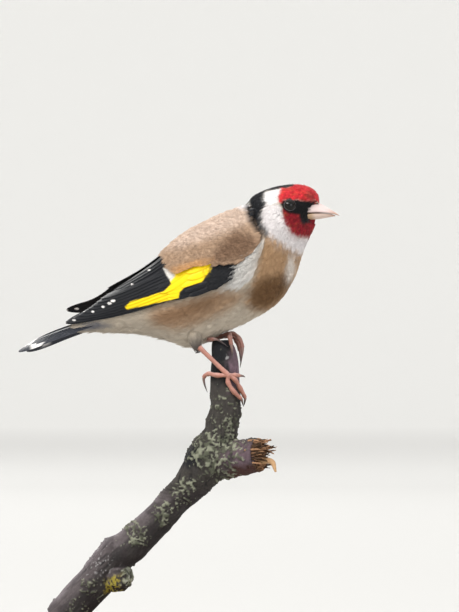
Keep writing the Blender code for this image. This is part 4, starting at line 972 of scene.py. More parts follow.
def bill_ring(points):
    """How far points of the head lie from the bill's middle line, as a share of its own size
    there, and that line. The share is large for points behind the bill's base."""
    back = math.radians(HEAD_TURN_DEG)
    dx, y = points[:, 0] - HEAD_PIVOT_X, points[:, 1]
    x = HEAD_PIVOT_X + dx * math.cos(back) - y * math.sin(back)
    across = dx * math.sin(back) + y * math.cos(back)
    upper, lower = np.array(UPPER_MANDIBLE), np.array(LOWER_MANDIBLE)
    top = np.interp(x, upper[:, 0], upper[:, 1])
    bottom = np.interp(x, lower[:, 0], lower[:, 2])
    half = np.interp(x, upper[:, 0], upper[:, 3])
    middle = (top + bottom) / 2
    ring = np.hypot((points[:, 2] - middle) / (top - middle), across / half)
    ring = ring / np.interp(x, BILL_BARE_GROWS, (1.0, 1.32))
    line = turn_head(np.stack((x, 0 * x, middle), axis=-1), np.full(len(x), HEAD_RIB))
    return np.where(x > BILL_BARE_X, ring, 9.0), line


def sunk_face(points):
    """The skin near the bill, drawn in towards the bill's middle line so that its base is bare."""
    ring, line = bill_ring(points)
    share = 0.37 * smooth((1.35 - ring) / 0.35)
    return points + (line - points) * share[:, None]


def body_surface(u, v, rise):
    return body_at(u, v, np.full(np.shape(u), rise))


def body_tint(u, v):
    """The plumage's colour. The red of the face is mottled: partly the feathers' own variation, partly
    painted highlights and painted shade on its tufts.
    """
    u = np.clip(u, 0, LAST_RIB)
    tone = paint(body_seen(u, v), BELLY, BODY_MARKS)
    red = smooth((tone[:, 0] - 4 * tone[:, 1]) * 6)
    # Lighter and darker mottling on the red, partly painted highlights and painted shade, and a little orange
    # added as painted highlight.
    mottle = 0.45 + 1.1 * grain(body_at(u, v), 0.55, 35)
    tone = tone * (1 + (mottle - 1) * red)[:, None]
    orange = red * smooth((grain(body_at(u, v), 0.8, 36) - 0.55) * 3) * 0.035
    return tone + orange[:, None] * np.array((1.0, 0.9, 0.1))


def body_spot(u, v):
    return np.column_stack((0.02 + 0.96 * u / LAST_RIB, 0.02 + 0.96 * (v / FULL_TURN)))


def build_body_coat(finish):
    """The feathers of the head, neck, breast, belly, rump and tail coverts."""
    eyes = [eye_place(side)[0] for side in (-1, 1)]

    def keep(u, v, points):
        clear = bill_ring(points)[0] > 1.12
        for eye in eyes:
            clear &= np.linalg.norm(points - eye, axis=1) > FACE_CLEAR
        clear &= depth_inside(OUTLINES["under_wing"], body_seen(u, v)) < 0
        clear &= ~((u < 9) & (np.cos(v) > 0.55) & (u > 2.2))
        return clear

    def spacing(u, v):
        return coat_value(u, SPACING)

    u, v = throw_darts(body_surface, (0.15, LAST_RIB - 0.05), (0, FULL_TURN), spacing, keep, 11, 420000)
    length, half, depth = coat_value(u, LENGTH), coat_value(u, HALF_WIDTH), coat_value(u, DEPTH)
    here = body_at(u, v)
    for eye in eyes:
        near = np.linalg.norm(here - eye, axis=1)
        length = np.where(near < 4.6, np.minimum(length, 0.05 + 0.30 * near), length)
    ruffle = 0.045 + 0.30 * smooth((7.5 - u) / 2) * smooth((-np.cos(v) - 0.2) / 0.5)
    ruffle = np.where(u > 13.5, 0.16, ruffle)
    face = u > 10.6
    tracts = (
        (~face, "coat", "mantle_brown", BODY_VANES, 21),
        (face, "coat_face", "face_red", FACE_VANES, 31),
    )
    for mask, name, slot, templates, seed in tracts:
        grow_coat(
            name, slot, finish, body_surface, u[mask], v[mask], -1, length[mask], half[mask],
            0.05 - depth[mask], 0.05 + 0.1 * depth[mask], body_tint, body_spot, templates, seed,
            ruffle=ruffle[mask],
        )


def everywhere(u, v, points):
    return np.ones(len(points), bool)


def evenly(gap):
    """The same spacing everywhere."""
    return lambda u, v: np.full(len(u), gap)


def build_thigh_coat(finish):
    """Long loose feathers that run from the belly down each thigh, dark towards the ankle."""
    for n, word in enumerate(SIDE_OF):
        def surface(u, v, rise, word=word):
            return thigh_at(u, v, rise - THIGH_SLIM, word)

        def tint(u, v, word=word):
            here = thigh_at(u, v, 0.0, word)
            here[:, 1] = -np.abs(here[:, 1])
            tone = paint(seen_at(here), BELLY, BODY_MARKS) * 0.85
            return blend_tone(tone, THIGH_TINT, smooth((u - 0.30) / 0.5) * 0.9)

        def spot(u, v):
            return np.column_stack((0.3 + 0.6 * u, 0.02 + 0.9 * v / FULL_TURN))

        u, v = throw_darts(surface, (-0.4, 0.80), (0, FULL_TURN), evenly(0.5), everywhere, 41 + n, 16000)
        length = 4.0 - 1.9 * np.clip(u, 0, 1)
        grow_coat(
            "coat_thigh_" + word, "thigh_grey", finish, surface, u, v, 1, length, length * 0.17,
            -0.3, 0.55, tint, spot, BODY_VANES, 51 + n, yaw=0.30, ruffle=0.25,
        )


def roof_seen(u, v):
    """Where a place of the wings' roof shows, taken on the right wing."""
    return seen_at(roof_at(u, v, 1.5, "right"))


def roof_spot(u, v, first=1.0):
    """The bake places of a wing's roof. The first rafter used is that far before rafter 0."""
    return np.column_stack((0.05 + 0.9 * (u + first) / 5, 0.02 + 0.9 * v))


def mantle_depth(u, v):
    """How far a place of the roof lies inside the roots of the mantle and shoulder feathers."""
    return depth_inside(OUTLINES["mantle_roots"], roof_seen(u, v))


def build_mantle_coat(finish):
    """The brown feathers of the back and shoulders, which lie over the tops of the folded wings."""
    def keep(u, v, points):
        return mantle_depth(u, v) > 0

    def spacing(u, v):
        return 0.55 + 0.08 * u

    def tint(u, v):
        return paint(roof_seen(u, v), BROWN, MANTLE_MARKS)

    for n, word in enumerate(SIDE_OF):
        def surface(u, v, rise, word=word):
            return roof_at(u, np.clip(v, -0.1, 1.1), 1.0 + rise, word)

        u, v = throw_darts(surface, (-0.9, 3.2), (0.0, 0.98), spacing, keep, 61 + n, 90000)
        length = 4.4 + 0.6 * np.maximum(u, 0)
        over_arm = smooth((1.0 - v) / 0.25)
        grow_coat(
            "coat_mantle_" + word, "mantle_brown", finish, surface, u, v, 1, length, length * 0.20,
            -1.2 + 1.9 * over_arm, -0.3 + 2.2 * over_arm, tint, roof_spot, MANTLE_VANES, 71 + n, yaw=0.10,
        )


def build_back_coat(finish):
    """The brown feathers along the middle of the back, between the tops of the two wings."""
    def surface(u, v, rise):
        ridge = np.full(np.shape(u), BACK_UP)
        right, left = (roof_at(u, ridge, BACK_HEIGHT + rise, word) for word in SIDE_OF)
        points = (right + left) / 2 + (left - right) / 2 * v[..., None]
        points[..., 2] += BACK_CROWN * (1 - v**2)
        return points

    def tint(u, v):
        return paint(roof_seen(u, np.full(np.shape(u), BACK_UP)), BROWN, BACK_MARKS)

    def spot(u, v):
        return np.column_stack((0.05 + 0.9 * (u + 1.0) / 5, 0.5 + 0.4 * v))

    u, v = throw_darts(surface, (-0.8, 2.5), (-1.0, 1.0), evenly(0.5), everywhere, 65, 12000)
    length = 4.0 + 0.6 * np.maximum(u, 0)
    grow_coat(
        "coat_back", "mantle_brown", finish, surface, u, v, 1, length, length * 0.20, -0.4, 0.5, tint, spot,
        MANTLE_VANES, 75, yaw=0.10,
    )


def build_wing_fronts(finish):
    """The small black coverts on the front of the folded wings."""
    def keep(u, v, points):
        return mantle_depth(u, v) < 1.5

    def tint(u, v):
        return blend_tone(wing_tint(roof_seen(u, v)), BROWN, smooth((mantle_depth(u, v) - 0.5) / 1.0))

    def spot(u, v):
        return roof_spot(u, v, 0.8)

    for n, word in enumerate(SIDE_OF):
        def surface(u, v, rise, word=word):
            return roof_at(u, v, 1.0 + rise, word)

        u, v = throw_darts(surface, (-0.4, 1.15), (0.0, 0.70), evenly(0.6), keep, 81 + n, 40000)
        length = 3.6 + 0.8 * np.maximum(u, 0)
        grow_coat(
            "coat_wing_" + word, "wing_black", finish, surface, u, v, 1, length, length * 0.20,
            -0.2, 0.75, tint, spot, MANTLE_VANES, 91 + n, yaw=0.08,
        )


def build_wisps(finish):
    """The long loose feathers of the breast's side that lie over the front of each wing."""
    def keep(u, v, points):
        return depth_inside(OUTLINES["side_wisps"], body_seen(u, v)) > 0

    def tint(u, v):
        return paint(body_seen(u, v), WISP_TONE, WISP_MARKS)

    u, v = throw_darts(body_surface, (4.0, 9.0), (0, FULL_TURN), evenly(0.50), keep, 101, 120000)
    length = np.full(len(u), 6.4)
    templates = [vane_template(5, 0.40, seed) for seed in range(10, 15)]
    grow_coat(
        "coat_wisps", "collar_white", finish, body_surface, u, v, -1, length, length * 0.10, -0.5, 1.9, tint,
        body_spot, templates, 111, yaw=0.20, ruffle=0.25,
    )


# The wings and the tail.

def vane_width(q):
    """Half width along a feather as a share of its widest, from root to rounded tip."""
    root = 0.55 + 0.45 * np.minimum(q / 0.4, 1.0)
    tip = np.sqrt(np.clip(1 - np.clip((q - 0.66) / 0.345, 0, 1) ** 2.3, 0.004, 1))
    return root * tip


def long_vane(centre, along, normal, half, tilt):
    """One long feather: rows of points across a cupped vane with a raised shaft, over and under.
    Gives points, faces, and each point's share along and across."""
    rows = len(centre)
    q = np.linspace(0, 1, rows)
    t = np.linspace(-1, 1, VANE_COLUMNS)
    across = unit(np.cross(along, normal))
    across = np.where(across[:, 2:3] < 0, -across, across)
    width = (half * vane_width(q))[:, None]
    flat = centre[:, None] + (width * t)[..., None] * across[:, None, :]
    shaft = 0.07 * np.exp(-((t / 0.07) ** 2)) * (1 - q[:, None])
    cup = -0.10 * width * (t**2) - tilt * t
    thick = VANE_THICK / 2 * (1 - 0.6 * t**2)
    layers = [flat + height[..., None] * normal[:, None] for height in (cup + thick + shaft, cup - thick)]
    points = np.concatenate([layer.reshape(-1, 3) for layer in layers])
    count = rows * VANE_COLUMNS
    over = grid_faces(rows, VANE_COLUMNS, False)
    faces = over.tolist() + (over[:, ::-1] + count).tolist()
    last_row, last_column = count - VANE_COLUMNS, VANE_COLUMNS - 1
    rim = [*range(0, last_row, VANE_COLUMNS), *range(last_row, count - 1)]
    rim += [*range(count - 1, last_column, -VANE_COLUMNS), *range(last_column, 0, -1)]
    faces += [(a, b, b + count, a + count) for a, b in zip(rim, rim[1:] + rim[:1])]
    along_share = np.tile(np.repeat(q, VANE_COLUMNS), 2)
    across_share = np.tile(np.tile(t, rows), 2)
    return points, faces, along_share, across_share


def mix(a, b, share):
    return tuple(p + (q - p) * share for p, q in zip(a, b))


def wing_vane_paths():
    """Every long feather of a wing: number in its tier, root, tip, half width, heights, tilt, white."""
    for tier, values in WING_TIERS.items():
        count, root_a, root_b, tip_a, tip_b, half, out_root, out_tip, tilt, white = values
        for i in range(count):
            share = i / (count - 1)
            root, tip = mix(root_a, root_b, share), mix(tip_a, tip_b, share)
            if tier == "primaries":
                tip = (tip_a[0] - (tip_a[0] - tip_b[0]) * max(share - 0.12, 0.0) ** 0.85, tip[1])
            rise = (TIER_RISE if half > 2.0 else COVERT_RISE) * i
            yield i, root, tip, half, out_root + rise, out_tip + rise, tilt, white


def wing_tint(seen):
    """A wing's black, its yellow bar and the white dots of its feather tips."""
    tone = paint(seen, WING_BLACK, WING_MARKS, 0.2)
    for across, up, long, high in WING_DOTS:
        far = np.hypot((seen[..., 0] - across) / long, (seen[..., 1] - up) / high)
        tone = blend_tone(tone, WHITE_TIP, smooth((1.25 - far) / 0.4))
    return tone


def vane_strip(n, s, t):
    """The bake places of a long feather: a strip of its own."""
    return np.column_stack(((n + 0.5 + 0.4 * t) / VANE_STRIPS, 0.02 + 0.96 * s))


def vane_course(share, word, course, ahead=0.0):
    """Points along the middle of a wing feather, and the roof's normals there. ahead moves the
    points on by that share of the feather, at the same heights over the roof."""
    root, tip, out_root, out_tip = course
    u, up = root[0] + (tip[0] - root[0]) * share, root[1] + (tip[1] - root[1]) * share
    u, up = u + ahead * (tip[0] - root[0]), up + ahead * (tip[1] - root[1])
    out = out_root + (out_tip - out_root) * share
    centre = roof_at(u, up, out, word)
    return centre, unit(roof_at(u, up, out + 1.0, word) - centre)


def build_wing(word, finish):
    parts, tints, patches = [], [], []
    for n, (i, root, tip, half, out_root, out_tip, tilt, white) in enumerate(wing_vane_paths()):
        course = (root, tip, out_root, out_tip)
        ends = roof_at(np.array((root[0], tip[0])), np.array((root[1], tip[1])), 0.5, word)
        length = np.linalg.norm(ends[1] - ends[0])
        rows = max(12, int(length * VANE_ROWS_PER_MM))
        centre, normal = vane_course(np.linspace(0, 1, rows), word, course)
        points, faces, s, t = long_vane(centre, unit(np.gradient(centre, axis=0)), normal, half, tilt)
        parts.append((points, faces))
        patches.append(vane_strip(n, s, t))
        mirrored = points if word == "right" else roof_match(s, t, half, course)
        tone = wing_tint(seen_at(mirrored))
        tone = np.where(mirrored[:, 1:2] > -INNER_WING, np.array(WING_BLACK), tone)
        rim = smooth((np.abs(t) - 0.82) / 0.18) * 0.7
        tone = np.where((tone[:, 0] < 0.05)[:, None], blend_tone(tone, WING_EDGE, rim), tone)
        if white and i % 4 == 0:
            past_root_of_tip = (s - 1) * length + white - 0.5 * np.abs(t)
            tone = blend_tone(tone, WHITE_TIP, smooth(0.5 + past_root_of_tip / 0.5))
        under = depth_inside(OUTLINES["mantle_roots"], seen_at(mirrored))
        tints.append(blend_tone(tone, BROWN, smooth(under / 0.8)))
    points, faces, tone, share = wing_arm(word)
    parts.append((points, faces))
    tints.append(tone)
    patches.append(vane_strip(VANE_STRIPS - 1, share, 0 * share))
    points, faces = merge(parts)
    wing = add_piece(
        "wing_" + word + "_feathers", points, faces, finish, np.concatenate(tints), np.concatenate(patches),
        crease_deg=50,
    )
    place(wing, "wing_black", "wing_" + word)


def roof_match(s, t, half, course):
    """The places of a left wing's feather on the right wing, for its markings."""
    centre, normal = vane_course(s, "right", course)
    ahead, _ = vane_course(s, "right", course, 0.02)
    across = unit(np.cross(ahead - centre, normal))
    across = np.where(across[:, 2:3] < 0, -across, across)
    return centre + across * (half * vane_width(s) * t)[:, None]


def wing_arm(word):
    """The arm and shoulder pad under the coverts."""
    count = (len(WING_ARM) - 1) * ARM_STEPS + 1
    rows = spline(WING_ARM, np.linspace(0, len(WING_ARM) - 1, count))
    angle = round_angles(ARM_SIDES)
    up = (rows[:, 1:2] + rows[:, 2:3]) / 2 + (rows[:, 2:3] - rows[:, 1:2]) / 2 * np.cos(angle)
    out = 0.55 * (rows[:, 3:4] / 2 + (rows[:, 3:4] / 2 + 0.2) * np.sin(angle))
    u = np.repeat(rows[:, 0:1], ARM_SIDES, axis=1)
    points, faces = closed(roof_at(u, up, out, word).reshape(-1, 3), ARM_SIDES)
    u, up = u.reshape(-1), up.reshape(-1)
    tone = wing_tint(seen_at(roof_at(u, up, 1.0, "right")))
    # Under the mantle the arm is brown, painted darker as painted shade beneath the mantle's feathers.
    tone = np.where((mantle_depth(u, up) > 0.3)[:, None], np.array(BROWN) * 0.6, tone)
    return points, faces, with_ends(tone), np.linspace(0, 1, len(points))


def tail_axes():
    slope = math.radians(TAIL_SLOPE_DEG)
    along = np.array((-math.cos(slope), 0.0, -math.sin(slope)))
    up = np.array((-math.sin(slope), 0.0, math.cos(slope)))
    return along, up


def build_tail(finish):
    along, up = tail_axes()
    root = np.array((TAIL_ROOT[0], 0.0, TAIL_ROOT[1]))
    parts, tints, patches = [], [], []
    for index in range(TAIL_PAIRS):
        share = index / (TAIL_PAIRS - 1)
        length = TAIL_CENTRE_LENGTH + (TAIL_OUTER_LENGTH - TAIL_CENTRE_LENGTH) * share
        rows = int(length * VANE_ROWS_PER_MM)
        q = np.linspace(-0.25, 1, rows)
        for side in (-1, 1):
            spread = side * (0.9 + TAIL_SPREAD * index) * (0.8 + 0.5 * q)
            sag = -TAIL_DROP * index * (0.7 + 0.3 * q) + 0.5 * np.sin(math.pi * q)
            centre = root + along * (length * q)[:, None] + up * sag[:, None]
            centre[:, 1] += spread
            roll = math.radians(10 + 4 * index)
            across = np.array((0.0, side * math.cos(roll), 0.0)) - up * math.sin(roll)
            normal = unit(np.cross(along, across) * side * -1)
            normal = normal if normal[2] > 0 else -normal
            ways, normals = unit(np.gradient(centre, axis=0)), np.tile(normal, (rows, 1))
            points, faces, s, t = long_vane(centre, ways, normals, TAIL_VANE_HALF_WIDTH, 0.0)
            parts.append((points, faces))
            patches.append(vane_strip(2 * index + (side > 0), s, t))
            tone = np.tile(TAIL_BLACK, (len(points), 1))
            tone = blend_tone(tone, TAIL_EDGE, smooth((np.abs(t) - 0.8) / 0.2) * 0.6)
            if index < 4:
                white = smooth(0.5 + ((s - 1) * length + 1.6 - np.abs(t)) / 0.6)
            else:
                white = smooth(1.6 - np.abs((s - 0.80) * length) / 1.5) * smooth(0.9 + t * side * 0.9)
            tints.append(blend_tone(tone, WHITE_TIP, white))
    points, faces = merge(parts)
    tail = add_piece(
        "tail_feathers", points, faces, finish, np.concatenate(tints), np.concatenate(patches), crease_deg=50
    )
    place(tail, "tail_black", "tail")


# The eyes and the bill.

def eye_frame(side):
    centre, out = eye_place(side)
    across = unit(np.cross(out, (0.0, 0.0, 1.0)))
    return centre, out, across, np.cross(across, out)


def build_eyes(finish, lid_finish):
    for word, side in SIDE_OF.items():
        centre, out, across, up = eye_frame(side)
        polar = np.linspace(0.001, math.pi - 0.001, EYEBALL_ROWS)[:, None]
        angle = round_angles(EYEBALL_SIDES)[None]
        ray = (
            np.cos(polar)[..., None] * out + (np.sin(polar) * np.cos(angle))[..., None] * across
            + (np.sin(polar) * np.sin(angle))[..., None] * up
        )
        points = (centre + EYE_RADIUS * ray).reshape(-1, 3)
        off = (EYE_RADIUS * np.sin(polar) + 0 * angle).reshape(-1)
        tone = blend_tone(np.array(PUPIL_TONE), IRIS_TONE, smooth((off - PUPIL_RADIUS) / 0.12))
        faces = grid_faces(EYEBALL_ROWS, EYEBALL_SIDES, True)
        ball = add_piece("eyeball_" + word, points, faces, finish, tone)
        place(ball, "eye_dark", "eye_" + word)
        build_lids(word, centre, out, across, up, lid_finish)


def build_lids(word, centre, out, across, up, finish):
    """A thin rim of bare skin that hugs the eyeball, a little wider than it is high."""
    around = round_angles(LID_SIDES)[:, None]
    rings, tones = [], []
    for a in round_angles(LID_STEPS):
        wide, high = LID_WIDE * math.cos(a), LID_HIGH * math.sin(a)
        reach = math.hypot(wide, high)
        height = math.sqrt(EYE_RADIUS**2 - reach**2)
        ray = unit(wide * across + high * up)
        foot = centre + wide * across + high * up + out * (height + 0.02)
        beads = 1 + 0.07 * math.cos(LID_BEADS * a)
        thick = LID_TUBE * beads * (1.15 if math.sin(a) > 0 else 1.0)
        rings.append(foot + thick * (np.cos(around) * ray + np.sin(around) * out * 0.8))
        tones += [np.array(LID_TONE) * beads] * LID_SIDES
    faces = grid_faces(LID_STEPS + 1, LID_SIDES, True) % (LID_STEPS * LID_SIDES)
    lids = add_piece("lids_" + word, np.concatenate(rings), faces, finish, np.array(tones))
    place(lids, "face_red")


def mandible_tone(points, top, low, upper, pit):
    """The colours of half of the bill: its tip, painted shade along its edge where the halves meet, a painted
    highlight on its ridge, its base and the nostril.
    """
    far, high = points[..., 0], points[..., 2]
    by_edge = np.exp(-((high - (low if upper else top)) / 0.38) ** 2)
    layers = [
        (BILL_TONES["tip"], smooth((far - 52.5) / 4.5) * 0.9),
        # Painted shade along the mouth line, stronger towards the tip.
        (BILL_TONES["edge"], by_edge * (0.2 + 0.4 * smooth((far - 48.5) / 1.5))),
    ]
    if upper:
        slit = np.exp(-((high - 160.4) / 0.28) ** 2) * smooth((48.3 - far) / 0.8)
        # A painted highlight along the top of the upper half.
        ridge = smooth((high - (top - 0.5)) / 0.5)
        layers += [(BILL_TONES["slit"], slit * 0.8), (BILL_TONES["ridge"], ridge * 0.5)]
    else:
        layers.append((BILL_TONES["ochre"], smooth((49.8 - far) / 2.0) * 0.8))
    base = smooth((46.2 - far) / 1.2) * smooth((160.2 - high) / 0.8)
    layers += [(BILL_TONES["base"], base * 0.8), (BILL_TONES["nostril"], pit)]
    tone = layered(np.array(BILL_TONES["upper" if upper else "lower"]), layers)
    streak = grain(points.reshape(-1, 3) * np.array((0.25, 1, 1)), 0.5, 9).reshape(far.shape)
    return (tone * (0.92 + 0.14 * streak[..., None])).reshape(-1, 3)


def build_mandible(name, node, rows, tip, finish):
    """Half of the bill, with a rounded back and flat inner side."""
    upper = rows is UPPER_MANDIBLE
    table = [*rows, (tip[0], tip[1] + BILL_TIP_RADIUS, tip[1] - BILL_TIP_RADIUS, BILL_TIP_RADIUS)]
    x, top, low, half = spline(table, np.linspace(0, len(table) - 1, BILL_STEPS)).T[..., None]
    angle = round_angles(BILL_SIDES)
    across, height = np.cos(angle), np.sin(angle)
    outer = height > 0 if upper else height < 0
    flat = np.where(outer, np.abs(height), np.abs(height) ** 0.35) * np.sign(height)
    middle = low + 0.25 * (top - low) if upper else top - 0.25 * (top - low)
    reach = np.where(height > 0, top - middle, middle - low)
    points = np.stack(np.broadcast_arrays(x, across * half, middle + flat * reach), axis=-1)
    pit_x, pit_z, pit_size = NOSTRIL
    near = np.hypot((points[..., 0] - pit_x) / 1.5, points[..., 2] - pit_z) / pit_size
    pit = smooth(1.4 - near) * upper
    points[..., 1] *= 1 - 0.22 * pit
    tone = mandible_tone(points, top, low, upper, pit)
    points = turn_head(points, np.full(points.shape[:-1], HEAD_RIB)).reshape(-1, 3)
    points, faces = closed(points, BILL_SIDES)
    piece = add_piece(name, points, faces, finish, with_ends(tone), crease_deg=60)
    place(piece, "bill_ivory", node)


# The legs.

def perch_place(angle_deg, z, off):
    """A point off the bark of the perch's upright end. Angle 0 is +X and 90 is -Y."""
    rows = np.asarray(BRANCH[:8], float)[::-1]
    x = float(np.interp(z, rows[:, 1], rows[:, 0]))
    reach = float(np.interp(z, rows[:, 1], rows[:, 2])) + off
    a = math.radians(angle_deg)
    return np.array((x + reach * math.cos(a), -reach * math.sin(a), z))


def scaled_tube(line, radii, sides, scute, ridge, shade):
    """A tube with a faint step at each scale, paler above as a painted highlight and browner below as painted
    shade, and its tints.
    """
    line = np.asarray(line, float)
    run = np.concatenate(([0.0], np.cumsum(np.linalg.norm(np.diff(line, axis=0), axis=1))))
    saw = (run / scute) % 1.0
    bumps = np.ones((len(line), sides)) * (1 + ridge * (saw - 0.5))[:, None]
    points, faces = tube(line, radii, sides, bumps, 0.8)
    points = points + (grain(points, 0.7, 18) - 0.5)[:, None] * np.array((0.0, 0.16, 0.16))
    seam = np.concatenate((np.repeat((saw < 0.14).astype(float), sides), (0.0, 0.0)))
    middles = np.concatenate((np.repeat(line, sides, axis=0), line[[0, -1]]))
    above = (points[:, 2] - middles[:, 2]) / np.max(radii)
    tone = np.array(LEG_TONE) * (0.85 + 0.3 * grain(points, 1.1, 17))[:, None]
    # Painted shade below and a painted highlight on top, then the scales' dark seams.
    tone = layered(tone, (
        (LEG_UNDER_SHADE, smooth(-above * 1.2) * 0.8),
        (LEG_TOP_HIGHLIGHT, smooth(above * 1.4 - 0.1) * 0.75),
        (LEG_SEAM, seam * 0.35),
    ))
    return points, faces, tone * shade


def build_leg(word, finish, claw_finish):
    ankle, foot = np.array(ANKLE[word]), perch_place(*FOOT[word])
    shin = unit(foot - ankle)
    stops = [ankle - shin * 1.0, ankle + shin * 0.8, np.array(mix(ankle, foot, 0.35)),
             np.array(mix(ankle, foot, 0.7)), foot + shin * 0.3]
    u = np.linspace(0, 4, 90)
    radii = spline([(r,) for r in TARSUS_RADII], u)[:, 0]
    shade = LEG_SHADE[word]
    pieces = [scaled_tube(spline(stops, u), radii, 24, 1.25, 0.04, shade)]
    for toe, places in TOES[word].items():
        path = [foot] + [perch_place(*spot) for spot in places]
        joint = len(path) - 3
        u = np.linspace(0, joint, 26 * joint)
        radii = TOE_RADIUS * (1.0 + 0.13 * np.cos(FULL_TURN * u))
        radii = radii * (1 - 0.2 * smooth((u - joint + 0.5) / 0.5))
        pieces.append(scaled_tube(spline(path, u), radii, 20, 0.85, 0.05, shade))
        build_claw(word, toe, spline(path, joint + np.linspace(0, 2, 36)), claw_finish)
    points, faces = merge([(p, f) for p, f, _ in pieces])
    tints = np.concatenate([tone for _, _, tone in pieces])
    leg = add_piece("foot_" + word, points, faces, finish, tints)
    place(leg, "leg_pink", "leg_" + word)


def build_claw(word, toe, line, finish):
    """A curved claw that tapers to a point, paler at its root."""
    share = np.linspace(0, 1, len(line))
    radii = CLAW_RADIUS * (1 - share) ** 0.75 + 0.03
    points, faces = tube(line, radii, CLAW_SIDES, blunt=0.6)
    tone_share = np.concatenate((np.repeat(share, CLAW_SIDES), (0.0, 1.0)))
    tone = blend_tone(np.array(CLAW_ROOT), CLAW_TIP, smooth(tone_share * 1.3))
    name = f"{toe}_claw_{word}"
    place(add_piece(name, points, faces, finish, tone), "claw_horn", f"claw_{word}_{toe}")


# The perch and the stand.

def remeshed(parts, voxel):
    """Overlapping closed shapes as one even skin, without a seam."""
    points, faces = merge(parts)
    mesh = bpy.data.meshes.new("rough")
    mesh.from_pydata((points * MM).tolist(), [], [list(map(int, f)) for f in faces])
    rough = bpy.data.objects.new("rough", mesh)
    bpy.context.scene.collection.objects.link(rough)
    change = rough.modifiers.new("even", "REMESH")
    change.mode = "VOXEL"
    change.voxel_size = voxel * MM
    made = bpy.data.meshes.new_from_object(rough.evaluated_get(bpy.context.evaluated_depsgraph_get()))
    bpy.data.objects.remove(rough)
    co = np.zeros(len(made.vertices) * 3, np.float32)
    made.vertices.foreach_get("co", co)
    normals = np.zeros(len(made.vertices) * 3, np.float32)
    made.vertices.foreach_get("normal", normals)
    polygons = [tuple(p.vertices) for p in made.polygons]
    bpy.data.meshes.remove(made)
    return co.reshape(-1, 3).astype(float) / MM, normals.reshape(-1, 3).astype(float), polygons


def build_perch(finish):
    """The upright end, the forked knot, the broken stub and the long slanting length below."""
    count = 160
    rows = spline(BRANCH, np.linspace(0, len(BRANCH) - 1, count))
    line = np.column_stack((rows[:, 0], np.zeros(count), rows[:, 1]))
    parts = [tube(line, rows[:, 2] - 0.25, 40, blunt=0.05)]
    for x, y, z, r in KNOTS:
        line_up = [(x, y, z + r * height) for height, _ in KNOT_PROFILE]
        radii = np.array([radius for _, radius in KNOT_PROFILE]) * (r - 0.3)
        parts.append(tube(line_up, radii, 24, blunt=0.1))
    stub = spline(STUB, np.linspace(0, len(STUB) - 1, 30))
    parts.append(tube(stub[:, :3], stub[:, 3] - 0.2, 36, blunt=0.05))
    points, normals, faces = remeshed(parts, BARK_GRID)
    points, tints = bark_relief(points, normals)
    flat = points[:, 2] < BRANCH_CUT_Z
    points[flat, 2] = BRANCH_CUT_Z
    bark = add_piece("perch_bark", points, faces, finish, tints)
    place(bark, "bark", "perch")


def near_any(seen, spots):
    """How strongly each place lies within any of the round spots: across, up, radius, strength."""
    total = np.zeros(len(seen))
    for across, up, radius, strength in spots:
        far = np.hypot(seen[:, 0] - across, seen[:, 1] - up) / radius
        total = np.maximum(total, strength * smooth(1.5 - far))
    return total


